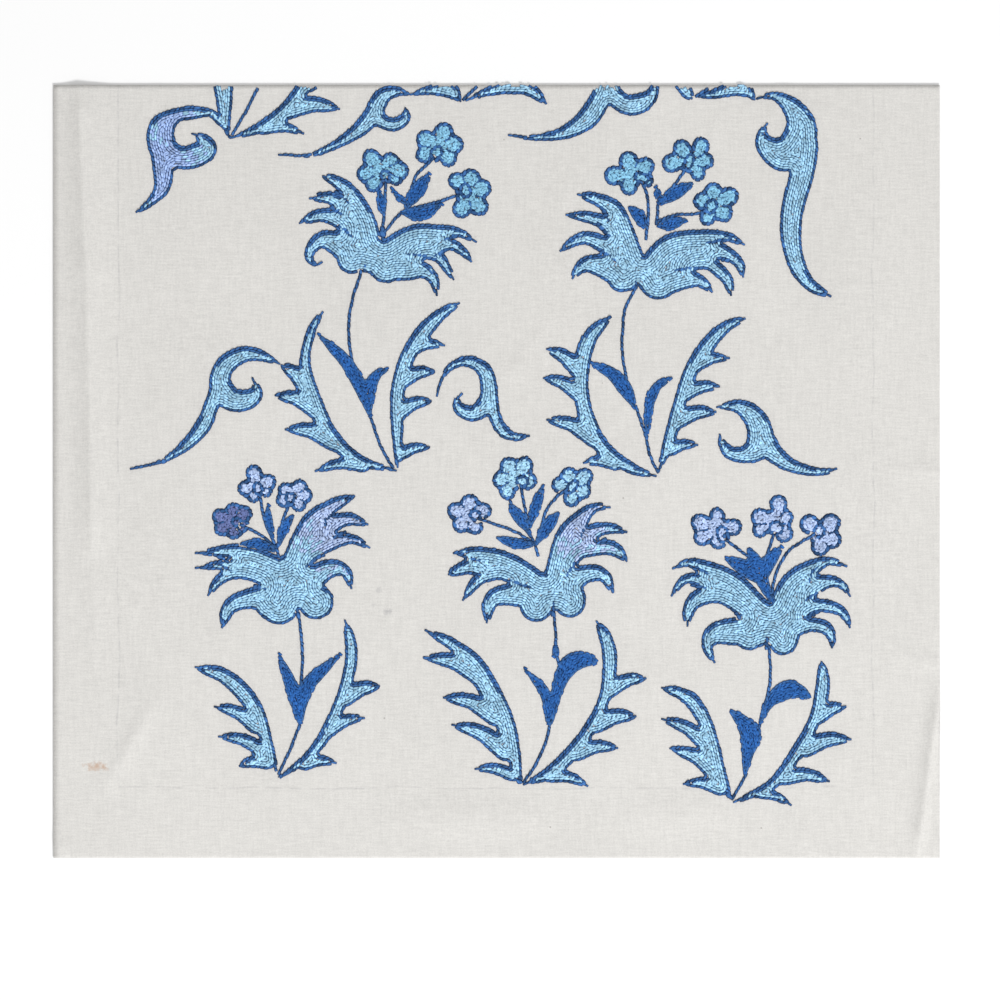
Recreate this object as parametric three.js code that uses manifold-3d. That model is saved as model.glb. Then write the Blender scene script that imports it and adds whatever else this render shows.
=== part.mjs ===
// Suzani textile: a cut length of cream cotton with blue chain-stitch plants and scrolls.
// Millimetres. The origin is under the middle of the cloth, X runs along it, Y across it and Z up.
import * as THREE from "three";
import { mergeVertices } from "three/addons/utils/BufferGeometryUtils.js";
import Module from "manifold-3d";

const wasm = await Module();
wasm.setup();

// Driving dimensions
const clothLength = 532;
const clothWidth = 464;
const clothThickness = 1.0;
const stitchThickness = 0.8;
const stitchGap = 0.35;
const stemHalfWidth = 0.95;
const smallestHalfWidth = 0.75;
const barbBow = 0.1;
const barbWaist = 0.8;
const tipFullness = 0.8;

// Fineness of the surfaces
const columnStep = 21;
const rowStep = 20;
const fineStep = 5;
const outlineCell = 0.7;
const outlineTolerance = 0.3;
const linksPerKnot = 4;

// Colours of the dry cotton and the cotton thread
const clothColour = 0xe6e2d8;
const threadColour = 0x5b93cc;

// Soft swells of the cloth between the motifs: centre x, centre y, reach in x, reach in y, height.
const swells = [
  [-178, 112, 46, 70, 0.7],
  [40, 138, 26, 80, 0.6],
  [222, 120, 30, 90, 0.8],
  [-20, -208, 70, 18, 0.9],
  [104, -206, 52, 20, 0.8],
  [226, -50, 30, 50, 0.7],
  [-204, -60, 34, 52, 0.6],
];

// Creases standing up from the surface: x and y of the ends, reach on the right and on the left, height.
const creases = [
  [-251.8, 262, -245.2, 90, 14, 24, 3.4],
  [-246.4, 150, -242.6, -60, 13, 22, 2.8],
  [-246, -40, -238, -128, 10, 16, 1],
  [-240, -200, -200, -128, 12, 12, 1.3],
  [267.5, -118, 250.5, -244, 9, 7, 2.6],
  [-270, -214, -250, -236, 7, 7, 2],
  [172, -204, 196, -236, 9, 9, 1.7],
];

// Leaf blades, wing petals and scroll arms: knots of x, y, half width along each middle line.
const taperedStrokes = {
  lower_left: [
    [[-131, -183, 1], [-138, -161, 3.6], [-147, -139, 5.2], [-163, -123, 4.7], [-181, -117.5, 0]],
    [[-130, -184, 1], [-109.5, -167.5, 3.4], [-95.5, -143, 3.8], [-88, -119, 3.8], [-87.5, -103, 3.5],
      [-91, -89, 0]],
    [[-124, -64, 9], [-150, -48.5, 4.5], [-181, -49, 0]],
    [[-124, -64, 9], [-152, -55.5, 4], [-181, -58, 0]],
    [[-124, -66, 9], [-151, -60, 5], [-165, -64, 3.4], [-173.5, -74.5, 0]],
    [[-122, -74, 9], [-146, -76, 6.5], [-160, -81, 4.5], [-165, -94, 0]],
    [[-124, -62, 8], [-112, -34, 7.5], [-100, -21.5, 4.5], [-85, -14.5, 0]],
    [[-122, -60, 7], [-104, -36, 6], [-90, -28.5, 4.2], [-77, -32, 0]],
    [[-126, -56, 6], [-102, -43.5, 5.3], [-87, -40.5, 3], [-76, -46, 0]],
    [[-116, -68, 8], [-101, -58.5, 6], [-91, -59.5, 3.6], [-87, -70.5, 0]],
  ],
  lower_middle: [
    [[14.2, -187.5, 1.5], [9.8, -168, 4.7], [3, -146, 6.3], [-12, -118, 6.3], [-25, -104.8, 3.8],
      [-43, -95, 0]],
    [[16, -188, 1], [35, -178.8, 4.3], [53, -158.5, 4], [64.5, -137, 3.6], [68, -116, 4.5],
      [66, -101, 4], [60, -89.5, 0]],
    [[29, -71, 8], [10, -56, 6], [-8, -49.6, 4.4], [-26, -49, 0]],
    [[29, -71, 8], [6, -60, 6], [-12, -56.5, 5], [-22, -58.7, 3.8], [-29, -62, 0]],
    [[28, -70, 8], [8, -61.5, 4.4], [-6, -62.8, 3.8], [-13, -67.2, 3.4], [-20.5, -77.5, 0]],
    [[27, -77, 7], [10, -74, 7], [-3, -77, 4.8], [-6, -91, 0]],
    [[35, -64, 7], [43, -40, 8], [52, -27, 5], [59, -21.5, 2.8], [68.5, -21.5, 0]],
    [[37, -58, 7], [54, -39, 5.5], [66, -34, 3.6], [78.5, -36.5, 0]],
    [[38, -60, 7], [48, -48.5, 5.5], [58, -46, 5], [70, -46, 4.4], [78.5, -54, 0]],
    [[38, -72, 8], [52, -62, 6], [64, -62, 4], [70, -73, 0]],
  ],
  lower_right: [
    [[141, -198, 1.2], [133.5, -178, 3.8], [128, -157, 4], [119, -139.5, 4.8], [110, -133, 3.6],
      [99, -130, 0]],
    [[142, -198.5, 1.3], [165, -188, 3.4], [180, -169, 4], [191.5, -148, 3.8], [195.5, -131, 4.5],
      [196, -121, 3.4], [195, -114, 0]],
    [[158, -84, 8], [141, -67, 7.5], [124, -57.5, 4.6], [115, -54.7, 2.6], [105.5, -58.5, 0]],
    [[155, -82, 8], [133, -69, 5.5], [117, -64, 3.4], [110, -67.5, 2.4], [105, -75, 0]],
    [[156, -84, 8], [136, -73.5, 6.5], [122, -75.5, 5.4], [115.5, -83, 3.7], [114.5, -93, 0]],
    [[158, -96, 9], [143, -96, 8.5], [131, -97.5, 6.5], [126.5, -105, 3.2], [131, -115, 0]],
    [[168, -84, 6], [178, -68, 8], [190, -57.5, 5], [200, -53.8, 2.6], [210.5, -57, 0]],
    [[174, -82, 8], [190, -69, 6], [201, -66, 3.8], [208, -68.5, 2.4], [212.5, -75, 0]],
    [[174, -86, 8], [190, -80.5, 4.6], [202, -81.5, 3.8], [209, -86, 2.6], [212, -94, 0]],
    [[172, -94, 9], [187, -91.8, 4.8], [197, -93.5, 4.2], [201, -99, 2.8], [201.5, -106, 0]],
  ],
  upper_left: [
    [[-60, 0.5, 1], [-84, 7.5, 3.8], [-101, 24, 4.9], [-111.5, 48, 4.9], [-115, 67, 3.4],
      [-110.5, 86, 2.7], [-104, 96, 0]],
    [[-59.5, 2.3, 1], [-59.5, 22, 3.6], [-59.5, 45, 4.5], [-54.5, 66, 4.7], [-44, 83.5, 5],
      [-32, 95.5, 3.4], [-22, 101, 0]],
    [[-76, 134, 8], [-80, 152, 7], [-88, 167.4, 5], [-97, 174.6, 3.4], [-104.5, 177.5, 0]],
    [[-82, 148, 8], [-93, 160, 5], [-101, 164.4, 3.8], [-112.5, 164, 0]],
    [[-80, 142, 8], [-95, 151.5, 5.5], [-106, 153.8, 4], [-118.5, 149, 0]],
    [[-80, 132, 8], [-92, 135.5, 8], [-103, 139.5, 5.5], [-110.5, 135, 4], [-112.5, 127.5, 2.4],
      [-108, 124, 1.3], [-104.5, 125.8, 0.3]],
    [[-66, 131, 8], [-50, 138, 10], [-36, 143, 5.5], [-23, 143.6, 2.8], [-12, 137.5, 0]],
    [[-60, 130, 8], [-42, 134.5, 6.5], [-28, 136.5, 3.7], [-21, 132.8, 2.9], [-14.8, 125.8, 0]],
    [[-60, 128, 8], [-44, 131.5, 4.5], [-35, 129, 3.7], [-30, 122.5, 2.8], [-25.8, 115, 0]],
    [[-68, 124, 9], [-54, 121.5, 7], [-44, 121, 5], [-37.5, 115, 3.2], [-35.8, 105.5, 0]],
    [[-130, 64.5, 0.6], [-140, 69, 3.4], [-151, 70.5, 5], [-162, 64.5, 6], [-166, 55, 6.5],
      [-163, 47, 7.5], [-157.5, 42.5, 7], [-149, 43.5, 6.3], [-144, 48, 3.8], [-146.5, 56.5, 0.3]],
    [[-166, 54, 5], [-171, 40, 4.6], [-176.5, 27, 5], [-187, 15.5, 3.6], [-199, 7, 1.8], [-208, 4, 1.1],
      [-220, 1.5, 0.8]],
  ],
  upper_right: [
    [[96, -3, 1], [82, 1.5, 3.4], [66, 12, 4.7], [56, 27, 5.2], [51, 46, 4.7], [51.5, 66, 5],
      [57, 82, 4.5], [69, 93, 0]],
    [[97, -1, 1], [103.5, 18, 3.6], [110, 41, 4], [117.5, 62, 4.5], [128, 77.5, 4.7], [138.5, 87.5, 3.4],
      [149.5, 92, 0]],
    [[82, 124, 8], [76, 142, 7.5], [71, 156.6, 5.8], [61, 163.2, 3.9], [48.5, 166.5, 0]],
    [[78, 134, 8], [68, 147, 5], [57, 152.2, 3.8], [41.5, 154, 0]],
    [[78, 126, 8], [66, 135.5, 5.5], [54, 140.3, 4.2], [45.5, 137.6, 3], [38, 132, 0]],
    [[78, 116, 8], [65, 123, 7.5], [54, 124.5, 4.8], [48.5, 120.5, 2.8], [45.5, 115.5, 0]],
    [[92, 122, 8], [106, 132, 11], [124, 140, 5.5], [138, 141, 3], [149, 136, 0]],
    [[104, 124, 9], [124, 132.5, 7], [137, 131.5, 4.6], [145.5, 125, 3.2], [148, 116.5, 0]],
    [[104, 124, 8], [124, 126, 4.5], [134, 120.5, 4.2], [139.3, 113.5, 3.3], [140.7, 105.5, 0]],
    [[96, 114, 10], [112, 115.5, 6.5], [122, 114.5, 3.8], [129.5, 107.5, 0]],
  ],
  scroll_middle: [
    [[-36, 45, 1.1], [-33.5, 54, 1.1], [-28.5, 62, 2.2], [-18, 66.3, 3.4], [-8, 61.5, 4.6],
      [-4.5, 51, 5.2], [-6, 41, 5.6], [-14, 34.8, 5], [-22, 37.5, 3.8], [-24, 43, 2], [-20.5, 47, 0.4]],
    [[-3, 44, 4], [-1, 33, 3.8], [4, 24.5, 4], [11, 20.7, 2.5], [20, 21.5, 0]],
  ],
  scroll_right: [
    [[132, 38.5, 1], [138, 39.3, 2.4], [147, 38.5, 4.8], [155, 32, 7], [158.5, 22, 8], [156, 13.5, 7.5],
      [147, 10, 5], [139, 12, 4], [135, 18, 2.2], [134, 22.5, 0.6]],
    [[159, 20, 8], [166, 11.5, 6], [175, 4.5, 4.6], [186, 0.8, 3.4], [196, -0.3, 2.2], [204.5, 1.6, 0]],
  ],
  border_left: [
    [[-170, 215.5, 2], [-182, 215.5, 4.2], [-193, 213.5, 4.6], [-201, 206, 8], [-200, 194, 8.5],
      [-190, 188.5, 7], [-180, 190, 7.5], [-173.5, 194, 6], [-177, 200.5, 3], [-183, 203, 0.4]],
    [[-200, 195, 8], [-200, 181, 6.5], [-201, 170, 4.8], [-208, 161.5, 2.4], [-216.5, 155.5, 0]],
    [[-160.6, 200.4, 0.8], [-163, 212, 3.6], [-163.5, 224, 5.2], [-165, 240, 7]],
    [[-163, 208, 3], [-172, 215.5, 2.2]],
    [[-159.2, 200.4, 0.8], [-146, 204.6, 3], [-131, 212.5, 5], [-120, 225, 4.4], [-110, 240, 5]],
  ],
  border_middle: [
    [[-52, 226.3, 1], [-60, 228.3, 3.2], [-68, 225.5, 5], [-72.5, 217, 5.8], [-69, 210.5, 4.5],
      [-61.5, 208.3, 4.3], [-54.8, 212, 3.4], [-55, 218.5, 1]],
    [[-71.5, 220, 5.2], [-78.5, 209, 5.4], [-90, 200, 3.6], [-103, 193, 2.2], [-114, 189.8, 1.5],
      [-131, 190.2, 0.8]],
    [[-21.5, 222, 1], [-28, 229, 5], [-40, 229, 3.2], [-52, 226.2, 0.8]],
    [[-18.6, 222.6, 0.8], [-4, 228.5, 3.2], [8, 231, 4.6], [20, 229.5, 4], [30, 220.5, 0]],
  ],
  border_right: [
    [[156, 223.5, 1], [166, 225.5, 2.6], [176, 220, 5.5], [183, 208, 9], [180, 196, 11], [172, 190, 10],
      [161.5, 196, 6], [159.5, 204, 2.6], [163, 209, 0.4]],
    [[184, 196, 9.5], [183.5, 180, 7.6], [178.2, 160, 7], [176.6, 143, 6.4], [180, 125, 5.4],
      [188, 112.5, 3.8], [200.8, 104.8, 0]],
    [[117.5, 223.5, 1], [114, 228, 4], [108, 238, 5]],
    [[121, 225, 1], [130, 226.5, 3], [141, 229.5, 4.5], [150, 228.8, 4], [155.2, 223, 0.8]],
    [[140, 232, 4], [153, 233, 2]],
  ],
  scroll_top: [
    [[70, 240, 8], [63.5, 226, 6.6], [55, 212.5, 6.6], [42, 204, 4.4], [29, 200.8, 2.6],
      [17, 200.6, 1.6], [7, 202, 0.8]],
    [[68, 228, 6], [76, 221, 6], [84, 220.3, 6.6], [92, 224.5, 4.5], [96, 233, 2]],
  ],
};

// Barbs of the leaves: root x, root y, tip x, tip y, half width at the root.
const barbs = {
  lower_left: [
    [-144, -153, -169.5, -141, 5.1],
    [-140, -168, -167, -159, 4.8],
    [-138, -174.5, -154.5, -177, 4.6],
    [-90.5, -135.5, -70, -129, 5.8],
    [-100.6, -155.2, -79, -148, 4.6],
    [-115, -175.5, -96, -175, 4.2],
  ],
  lower_middle: [
    [-9, -124, -44, -111.5, 6],
    [-1, -147, -32, -135.5, 6],
    [5, -168, -27, -152, 6],
    [9, -182, -13, -178.5, 4.2],
    [67.7, -131.2, 90, -124, 5.3],
    [59.9, -151.5, 84, -147, 6],
    [48, -169, 73, -166, 5.3],
    [32, -182.5, 55, -189, 4.3],
  ],
  lower_right: [
    [127, -165, 99, -148.5, 5.3],
    [131.5, -181, 104, -166, 5.6],
    [134, -190.5, 112, -187.5, 4.4],
    [193.1, -147, 210, -141, 5.1],
    [186, -166, 213, -161, 5.8],
    [173, -183.5, 200, -186, 5.1],
    [158.5, -193.5, 177, -200.5, 3.4],
  ],
  upper_left: [
    [-114, 50, -129.4, 63.9, 5.8],
    [-108.2, 36.9, -133, 45.8, 5.8],
    [-97.7, 17.8, -127, 25.4, 6],
    [-80, 3.5, -109, 0, 4.2],
    [-50, 74, -31, 75.5, 4.2],
    [-56, 55, -37, 60, 5.1],
    [-58, 36, -39, 42.5, 5.1],
    [-57.5, 10.5, -40, 14.5, 4.2],
  ],
  upper_right: [
    [48, 62, 30, 73.5, 5.3],
    [49, 47, 28, 56, 5.1],
    [58, 20, 30, 31, 5.8],
    [71, 4.5, 52, 5, 4.2],
    [120, 64, 140, 68, 4.3],
    [113.5, 47, 134, 51, 4.8],
    [108.7, 30.8, 132, 35.5, 5.6],
    [104, 13, 121, 16, 4.2],
  ],
  border_left: [
    [-140, 206, -115.5, 202.8, 4.2],
    [-124, 217.5, -94, 217.5, 6],
    [-114, 232, -92, 236, 5.1],
  ],
};

// Rounded cheeks of the flower heads: centre x, centre y, half length in x, half length in y.
const bellies = {
  lower_left: [
    [-130.5, -80, 12, 12],
    [-136.5, -79.5, 9, 9],
    [-108.5, -78, 11, 11],
    [-120, -68, 9, 12.5],
  ],
  lower_middle: [
    [24, -81, 10, 9.5],
    [44, -77, 10, 11],
    [36, -72, 10, 12],
  ],
  lower_right: [
    [152, -99, 9, 8.5],
    [172, -100, 9.5, 10.5],
    [164, -90, 12, 12],
  ],
  upper_left: [
    [-87, 129, 9.5, 10.5],
    [-66, 123, 11, 10],
    [-76, 131, 12, 12],
  ],
  upper_right: [
    [75, 116.5, 8.5, 9],
    [97, 114.5, 12, 11.5],
    [86, 120, 9, 8],
  ],
};

// Florets: x, y, radius of the middle and then of each petal.
const florets = {
  lower_left: [
    [[-143.6, -9.3, 6.6], [-145.5, -0.8, 5.4], [-137, -6.3, 5.2], [-138.6, -11.8, 4.4],
      [-145.9, -14.7, 4.6], [-150.7, -9.9, 5.2]],
    [[-121.8, -14.3, 6.8], [-118.4, -9.6, 5.4], [-114.9, -14.3, 5.1], [-118.3, -20.3, 4.6],
      [-127.8, -17.5, 5], [-126.7, -11.2, 4.9]],
    [[-158.6, -29.5, 7.8], [-157.9, -23.8, 5.5], [-151.4, -25.1, 5.3], [-152.9, -32.7, 5],
      [-157.7, -35.9, 5.3], [-164.9, -34, 5.2], [-166.2, -27, 5.2]],
  ],
  lower_right: [
    [[131.9, -34, 7.9], [132.5, -26.2, 5.2], [142.1, -33.4, 5.7], [133.1, -41.9, 5.4],
      [123.2, -39.8, 5.4], [122, -30.7, 5.9]],
    [[166.6, -30.4, 7.8], [169.3, -19.2, 5.8], [174.3, -27.4, 4.6], [172.6, -37.1, 6], [158, -35.3, 5],
      [158.6, -27.8, 6.4]],
    [[195.2, -38.3, 7.4], [200.6, -30.8, 6.3], [201.6, -40.9, 5.8], [194.2, -45.3, 5.8],
      [187.9, -31.6, 6.4]],
  ],
  upper_left: [
    [[-69, 180.7, 8.4], [-63.6, 186.1, 6], [-58.2, 180.5, 6.1], [-60.3, 176.1, 5], [-73.9, 172.6, 5.6],
      [-79, 178.7, 5.5], [-75.1, 188.3, 5.9]],
    [[-34.7, 195.2, 7.8], [-31.6, 203.9, 6.2], [-25.2, 196.2, 6], [-28.9, 188, 5.5], [-43.5, 190.1, 5.5],
      [-42.5, 199.4, 6.1]],
    [[-17.2, 167.5, 7.8], [-15.4, 176.1, 6.1], [-8.5, 169.9, 6], [-10.3, 159, 6], [-20.8, 157.8, 6.2],
      [-23.8, 174.4, 5.7]],
  ],
  spray_lower_middle: [
    [[11.3, -3.4, 7.4], [7.7, 2.9, 6.2], [16.8, 3.9, 5.8], [18.9, -5.6, 5.9], [6.5, -12.2, 5.4],
      [2.9, -4.9, 5.8]],
    [[45.5, -9.4, 6.4], [43.3, -2.2, 5.4], [52.9, -2.8, 5.6], [52.1, -11.8, 5.2], [45.1, -16.6, 5.4],
      [37.9, -8, 5.3]],
    [[-16.4, -25.7, 7.4], [-16.1, -18.8, 5.7], [-7.7, -23.5, 5.4], [-12.8, -33.3, 5.2],
      [-21.2, -31.5, 5.8], [-24.5, -23.6, 5.6]],
  ],
  spray_upper_left_floret: [
    [[80.9, 178.4, 7.8], [79.1, 186.5, 6.2], [89.7, 183.4, 5.7], [90.3, 174.6, 4.6], [79.6, 170.9, 5.6],
      [70.4, 177.6, 6.3]],
  ],
  spray_upper_right_florets: [
    [[116.5, 186.2, 7.4], [122.8, 195.8, 5.5], [125.9, 186.4, 5.2], [121.1, 178.6, 4.8],
      [105.1, 185, 6.2], [111.3, 194, 5.9]],
    [[130.8, 160.2, 7.4], [130, 168.4, 5.7], [139.8, 165.1, 6.1], [136.4, 154.8, 5.8],
      [126.5, 152.2, 5.2], [123.4, 162.3, 5.8]],
  ],
};

// Small solid leaves: knots of x, y, half width along each middle line.
const blades = {
  lower_left: [
    [[-118, -150, 2], [-122.5, -131, 4], [-130.5, -110, 0]],
    [[-118, -150, 2], [-117, -138, 4], [-111.5, -126, 4.2], [-94, -110, 0]],
    [[-134, -41, 0.9], [-137, -30, 2.8], [-137, -20.5, 0]],
    [[-131, -45, 1], [-127.5, -34, 3.2], [-122, -26, 0]],
    [[-132, -48, 1], [-142, -43.5, 3.2], [-154, -43.5, 0]],
  ],
  lower_middle: [
    [[32.5, -151, 1.5], [37.5, -128, 4], [44, -116, 6], [52, -113, 4.5], [60.5, -114, 0]],
    [[31.5, -151, 1.8], [29, -133, 3.2], [17, -118.5, 0]],
    [[35.5, -106.5, 2.2], [35.5, -109.5, 2.4]],
  ],
  lower_right: [
    [[158.5, -150, 1.2], [163.5, -139, 3.3], [173, -131.5, 5.8], [181, -131.5, 4.2], [188, -136, 0]],
    [[149, -182, 1.2], [151, -168, 4], [152.5, -158, 6.5], [148, -150.5, 4], [141, -144, 0]],
    [[162, -68, 1.5], [151, -59, 5], [137.5, -52, 0]],
    [[161, -66, 1.5], [156, -55, 4], [151, -46, 0]],
    [[160, -66, 1.5], [163, -55, 4.5], [171, -45.5, 0]],
    [[158, -62, 4], [161.2, -69.5, 3.4], [164.6, -77, 1.6]],
  ],
  upper_left: [
    [[-76, 34, 1.3], [-80.5, 48, 3.8], [-90.5, 66, 3.8], [-107, 82, 0]],
    [[-76.5, 36, 1.6], [-76, 50, 4], [-72, 58, 2.8], [-65.5, 61.5, 0]],
    [[-68, 154, 1], [-69, 161, 3], [-70.5, 168, 0]],
    [[-55, 157.5, 1], [-48, 168, 4.5], [-40.5, 178.5, 0]],
    [[-57, 155.5, 1], [-46, 154.5, 4.2], [-33, 160, 0]],
    [[-53, 160, 1], [-58, 164, 2], [-63.5, 170, 0.5]],
  ],
  upper_right: [
    [[83.5, 38, 1.2], [77, 50, 4.5], [69, 59, 3.6], [56.5, 65, 0]],
    [[90, 20, 1.2], [91.5, 38, 2.8], [95.5, 50, 2.8], [105.5, 56.5, 0]],
  ],
  spray_lower_middle: [
    [[20, -37, 1], [13, -27, 3.6], [8, -19.5, 0]],
    [[19, -35, 1], [23.5, -21, 3.2], [28, -8, 0]],
    [[24, -43, 1.2], [30.5, -33, 4], [37.5, -24.5, 0]],
    [[23, -44, 1.2], [11, -43, 3.4], [0, -39.5, 0]],
  ],
  spray_upper_left_floret: [
    [[89, 146, 1], [85.7, 153, 4], [79.9, 158.7, 0]],
  ],
  spray_upper_right_florets: [
    [[99, 161, 1], [107, 167, 4.2], [118, 173, 0]],
    [[96.5, 147.5, 1], [104, 148.5, 3.8], [114, 151, 0]],
    [[98, 160, 1], [97, 165.5, 2.3], [95.8, 170.6, 0]],
  ],
};

// Stems and flower stalks one chain row wide: x, y along each.
const stems = {
  lower_left: [
    [[-131, -182], [-124, -167], [-118, -152]],
    [[-117.5, -128], [-116.5, -112], [-117.5, -97], [-119, -85]],
    [[-143, -12.5], [-141.5, -17], [-139, -30], [-133, -44], [-130.5, -52]],
    [[-154, -31.8], [-140, -39], [-133, -46]],
    [[-124, -18.5], [-129, -32], [-131, -45]],
  ],
  lower_middle: [
    [[16, -187], [24, -175], [29, -164], [32.5, -150]],
    [[38, -117], [36, -110], [35.5, -98], [34.5, -84]],
  ],
  lower_right: [
    [[141, -197], [146, -189], [150, -181]],
    [[157.5, -154], [162, -138], [164.5, -122], [163.5, -104]],
    [[137.4, -41], [145, -46.5], [151, -51]],
    [[166.5, -37.5], [163, -48], [161, -54]],
    [[191.5, -37.5], [178, -45.5], [171.5, -53.5], [167, -64], [165, -76]],
  ],
  upper_left: [
    [[-62, 2], [-69, 14], [-76, 34]],
    [[-86.5, 63], [-88.8, 85], [-87, 101], [-81, 121]],
    [[-66.4, 176], [-67, 158], [-69, 141]],
    [[-37.5, 189], [-41, 185], [-48, 178], [-51, 170]],
    [[-19.7, 166.8], [-40, 160.5], [-55, 156.5], [-63, 149], [-69, 141]],
  ],
  upper_right: [
    [[97, -1], [92, 10], [90, 20], [84, 38]],
    [[78, 55], [75.5, 72], [76, 90], [78, 100], [84, 111]],
  ],
  border_left: [
    [[-159, 202], [-150, 217], [-140.5, 236]],
  ],
  border_middle: [
    [[-20.5, 223], [-15, 228], [-7, 236]],
  ],
  border_right: [
    [[119.3, 225], [125, 228.5], [134, 236]],
  ],
  spray_lower_middle: [
    [[8, -17], [14, -30], [20, -38], [23, -44], [25, -51]],
    [[14.3, -7.5], [17, -22], [19, -34]],
    [[43.2, -10.5], [38, -13.5], [30, -23], [27, -34], [24, -44]],
    [[-11.5, -28], [3, -33], [13, -37], [22, -43]],
  ],
  spray_upper_left_floret: [
    [[86.6, 174.6], [90.5, 165], [91, 152], [89.5, 139]],
  ],
  spray_upper_right_florets: [
    [[114.5, 182.5], [106, 171], [103, 166]],
    [[126.8, 157.8], [121, 154.8], [108, 154], [96, 150]],
    [[97, 160], [96, 148]],
  ],
};

const clamp01 = (value) => Math.min(Math.max(value, 0), 1);

const softBump = (share) => (share < 1 ? 0.5 + 0.5 * Math.cos(Math.PI * share) : 0);

// Height of the underside of the cloth over the surface it lies on.
function liftAt(x, y) {
  let lift = 0;
  for (const [cx, cy, reachX, reachY, height] of swells) {
    lift += height * softBump(Math.hypot((x - cx) / reachX, (y - cy) / reachY));
  }
  for (const [ax, ay, bx, by, reachRight, reachLeft, height] of creases) {
    const length = Math.hypot(bx - ax, by - ay);
    const along = ((x - ax) * (bx - ax) + (y - ay) * (by - ay)) / length;
    const aside = ((x - ax) * (by - ay) - (y - ay) * (bx - ax)) / length;
    const share = aside > 0 ? aside / reachRight : -aside / reachLeft;
    const ends = clamp01(Math.min(along, length - along) / 30);
    lift = Math.max(lift, height * softBump(share) * ends);
  }
  return lift;
}

// Lines of the surface grid, closer together over the creases.
function gridLines(from, to, step, fineRanges) {
  const lines = [from];
  while (lines[lines.length - 1] < to - 0.001) {
    const here = lines[lines.length - 1];
    const fine = fineRanges.some(([start, end]) => here >= start - 0.001 && here < end);
    const nextFine = fineRanges.map(([start]) => start).find((start) => start > here && start < here + step);
    const next = fine ? here + fineStep : (nextFine ?? here + step);
    lines.push(Math.min(next, to));
  }
  const count = lines.length;
  if (lines[count - 1] - lines[count - 2] < fineStep * 0.5) {
    lines.splice(count - 2, 1);
  }
  return lines;
}

const columns = gridLines(-clothLength / 2, clothLength / 2, columnStep, [[-261, -231], [251, 266]]);
const rows = gridLines(-clothWidth / 2, clothWidth / 2, rowStep, [[-232, -227]]);

// Closed sheet between two heights above the lift of the cloth.
function sheetGeometry(lower, upper) {
  const positions = [];
  const faces = [];
  const layer = columns.length * rows.length;
  for (const height of [lower, upper]) {
    for (const y of rows) {
      for (const x of columns) {
        positions.push(x, y, liftAt(x, y) + height);
      }
    }
  }
  const at = (column, row, top) => row * columns.length + column + (top ? layer : 0);
  for (let row = 0; row < rows.length - 1; row += 1) {
    for (let column = 0; column < columns.length - 1; column += 1) {
      const a = at(column, row, false);
      const b = at(column + 1, row, false);
      const c = at(column + 1, row + 1, false);
      const d = at(column, row + 1, false);
      faces.push(a, c, b, a, d, c);
      faces.push(a + layer, b + layer, c + layer, a + layer, c + layer, d + layer);
    }
  }
  const rim = [];
  for (let column = 0; column < columns.length - 1; column += 1) {
    rim.push(at(column, 0, false));
  }
  for (let row = 0; row < rows.length - 1; row += 1) {
    rim.push(at(columns.length - 1, row, false));
  }
  for (let column = columns.length - 1; column > 0; column -= 1) {
    rim.push(at(column, rows.length - 1, false));
  }
  for (let row = rows.length - 1; row > 0; row -= 1) {
    rim.push(at(0, row, false));
  }
  rim.forEach((here, index) => {
    const next = rim[(index + 1) % rim.length];
    faces.push(here, next, next + layer, here, next + layer, here + layer);
  });
  const geometry = new THREE.BufferGeometry();
  geometry.setAttribute("position", new THREE.Float32BufferAttribute(positions, 3));
  geometry.setIndex(faces);
  return geometry;
}

// Smooth line through knots of x, y, half width.
function smoothLine(knots) {
  const points = [];
  const knot = (index) => knots[Math.min(Math.max(index, 0), knots.length - 1)];
  const ends = knots.length - 1;
  for (let index = 0; index < ends; index += 1) {
    const before = index === 0 ? knots[0].map((v, k) => 2 * v - knots[1][k]) : knot(index - 1);
    const after = index === ends - 1 ? knots[ends].map((v, k) => 2 * v - knots[ends - 1][k]) : knot(index + 2);
    const isTip = index === ends - 1 && knots[ends][2] === 0;
    for (let link = 0; link < linksPerKnot; link += 1) {
      const t = link / linksPerKnot;
      const point = knots[index].map((b, k) => {
        const a = before[k];
        const c = knots[index + 1][k];
        const d = after[k];
        return 0.5 * (2 * b + (c - a) * t + (2 * a - 5 * b + 4 * c - d) * t * t
          + (3 * b - a - 3 * c + d) * t * t * t);
      });
      if (isTip) {
        point[2] = knots[index][2] * (1 - t * t) ** tipFullness;
      }
      points.push(point);
    }
  }
  points.push(knots[ends]);
  return points.map(([x, y, half]) => [x, y, Math.max(half, smallestHalfWidth)]);
}

// Barb that leaves its leaf wide and bows towards the back of the cloth.
function barbKnots([rootX, rootY, tipX, tipY, halfWidth]) {
  const alongX = tipX - rootX;
  const alongY = tipY - rootY;
  const side = alongX > 0 ? barbBow : -barbBow;
  const waist = [rootX + alongX / 2 - alongY * side, rootY + alongY / 2 + alongX * side, halfWidth * barbWaist];
  return [[rootX, rootY, halfWidth], waist, [tipX, tipY, 0]];
}

// Every tapered stroke and disc that makes up a motif.
function motifPieces(name) {
  const strokes = [
    ...(taperedStrokes[name] ?? []),
    ...(barbs[name] ?? []).map(barbKnots),
    ...(blades[name] ?? []),
    ...(stems[name] ?? []).map((line) => line.map(([x, y]) => [x, y, stemHalfWidth])),
  ].map(smoothLine);
  const discs = (bellies[name] ?? []).map((row) => [...row]);
  for (const [x, y, radius] of (florets[name] ?? []).flat()) {
    discs.push([x, y, radius, radius]);
  }
  return { strokes, discs };
}

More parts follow.
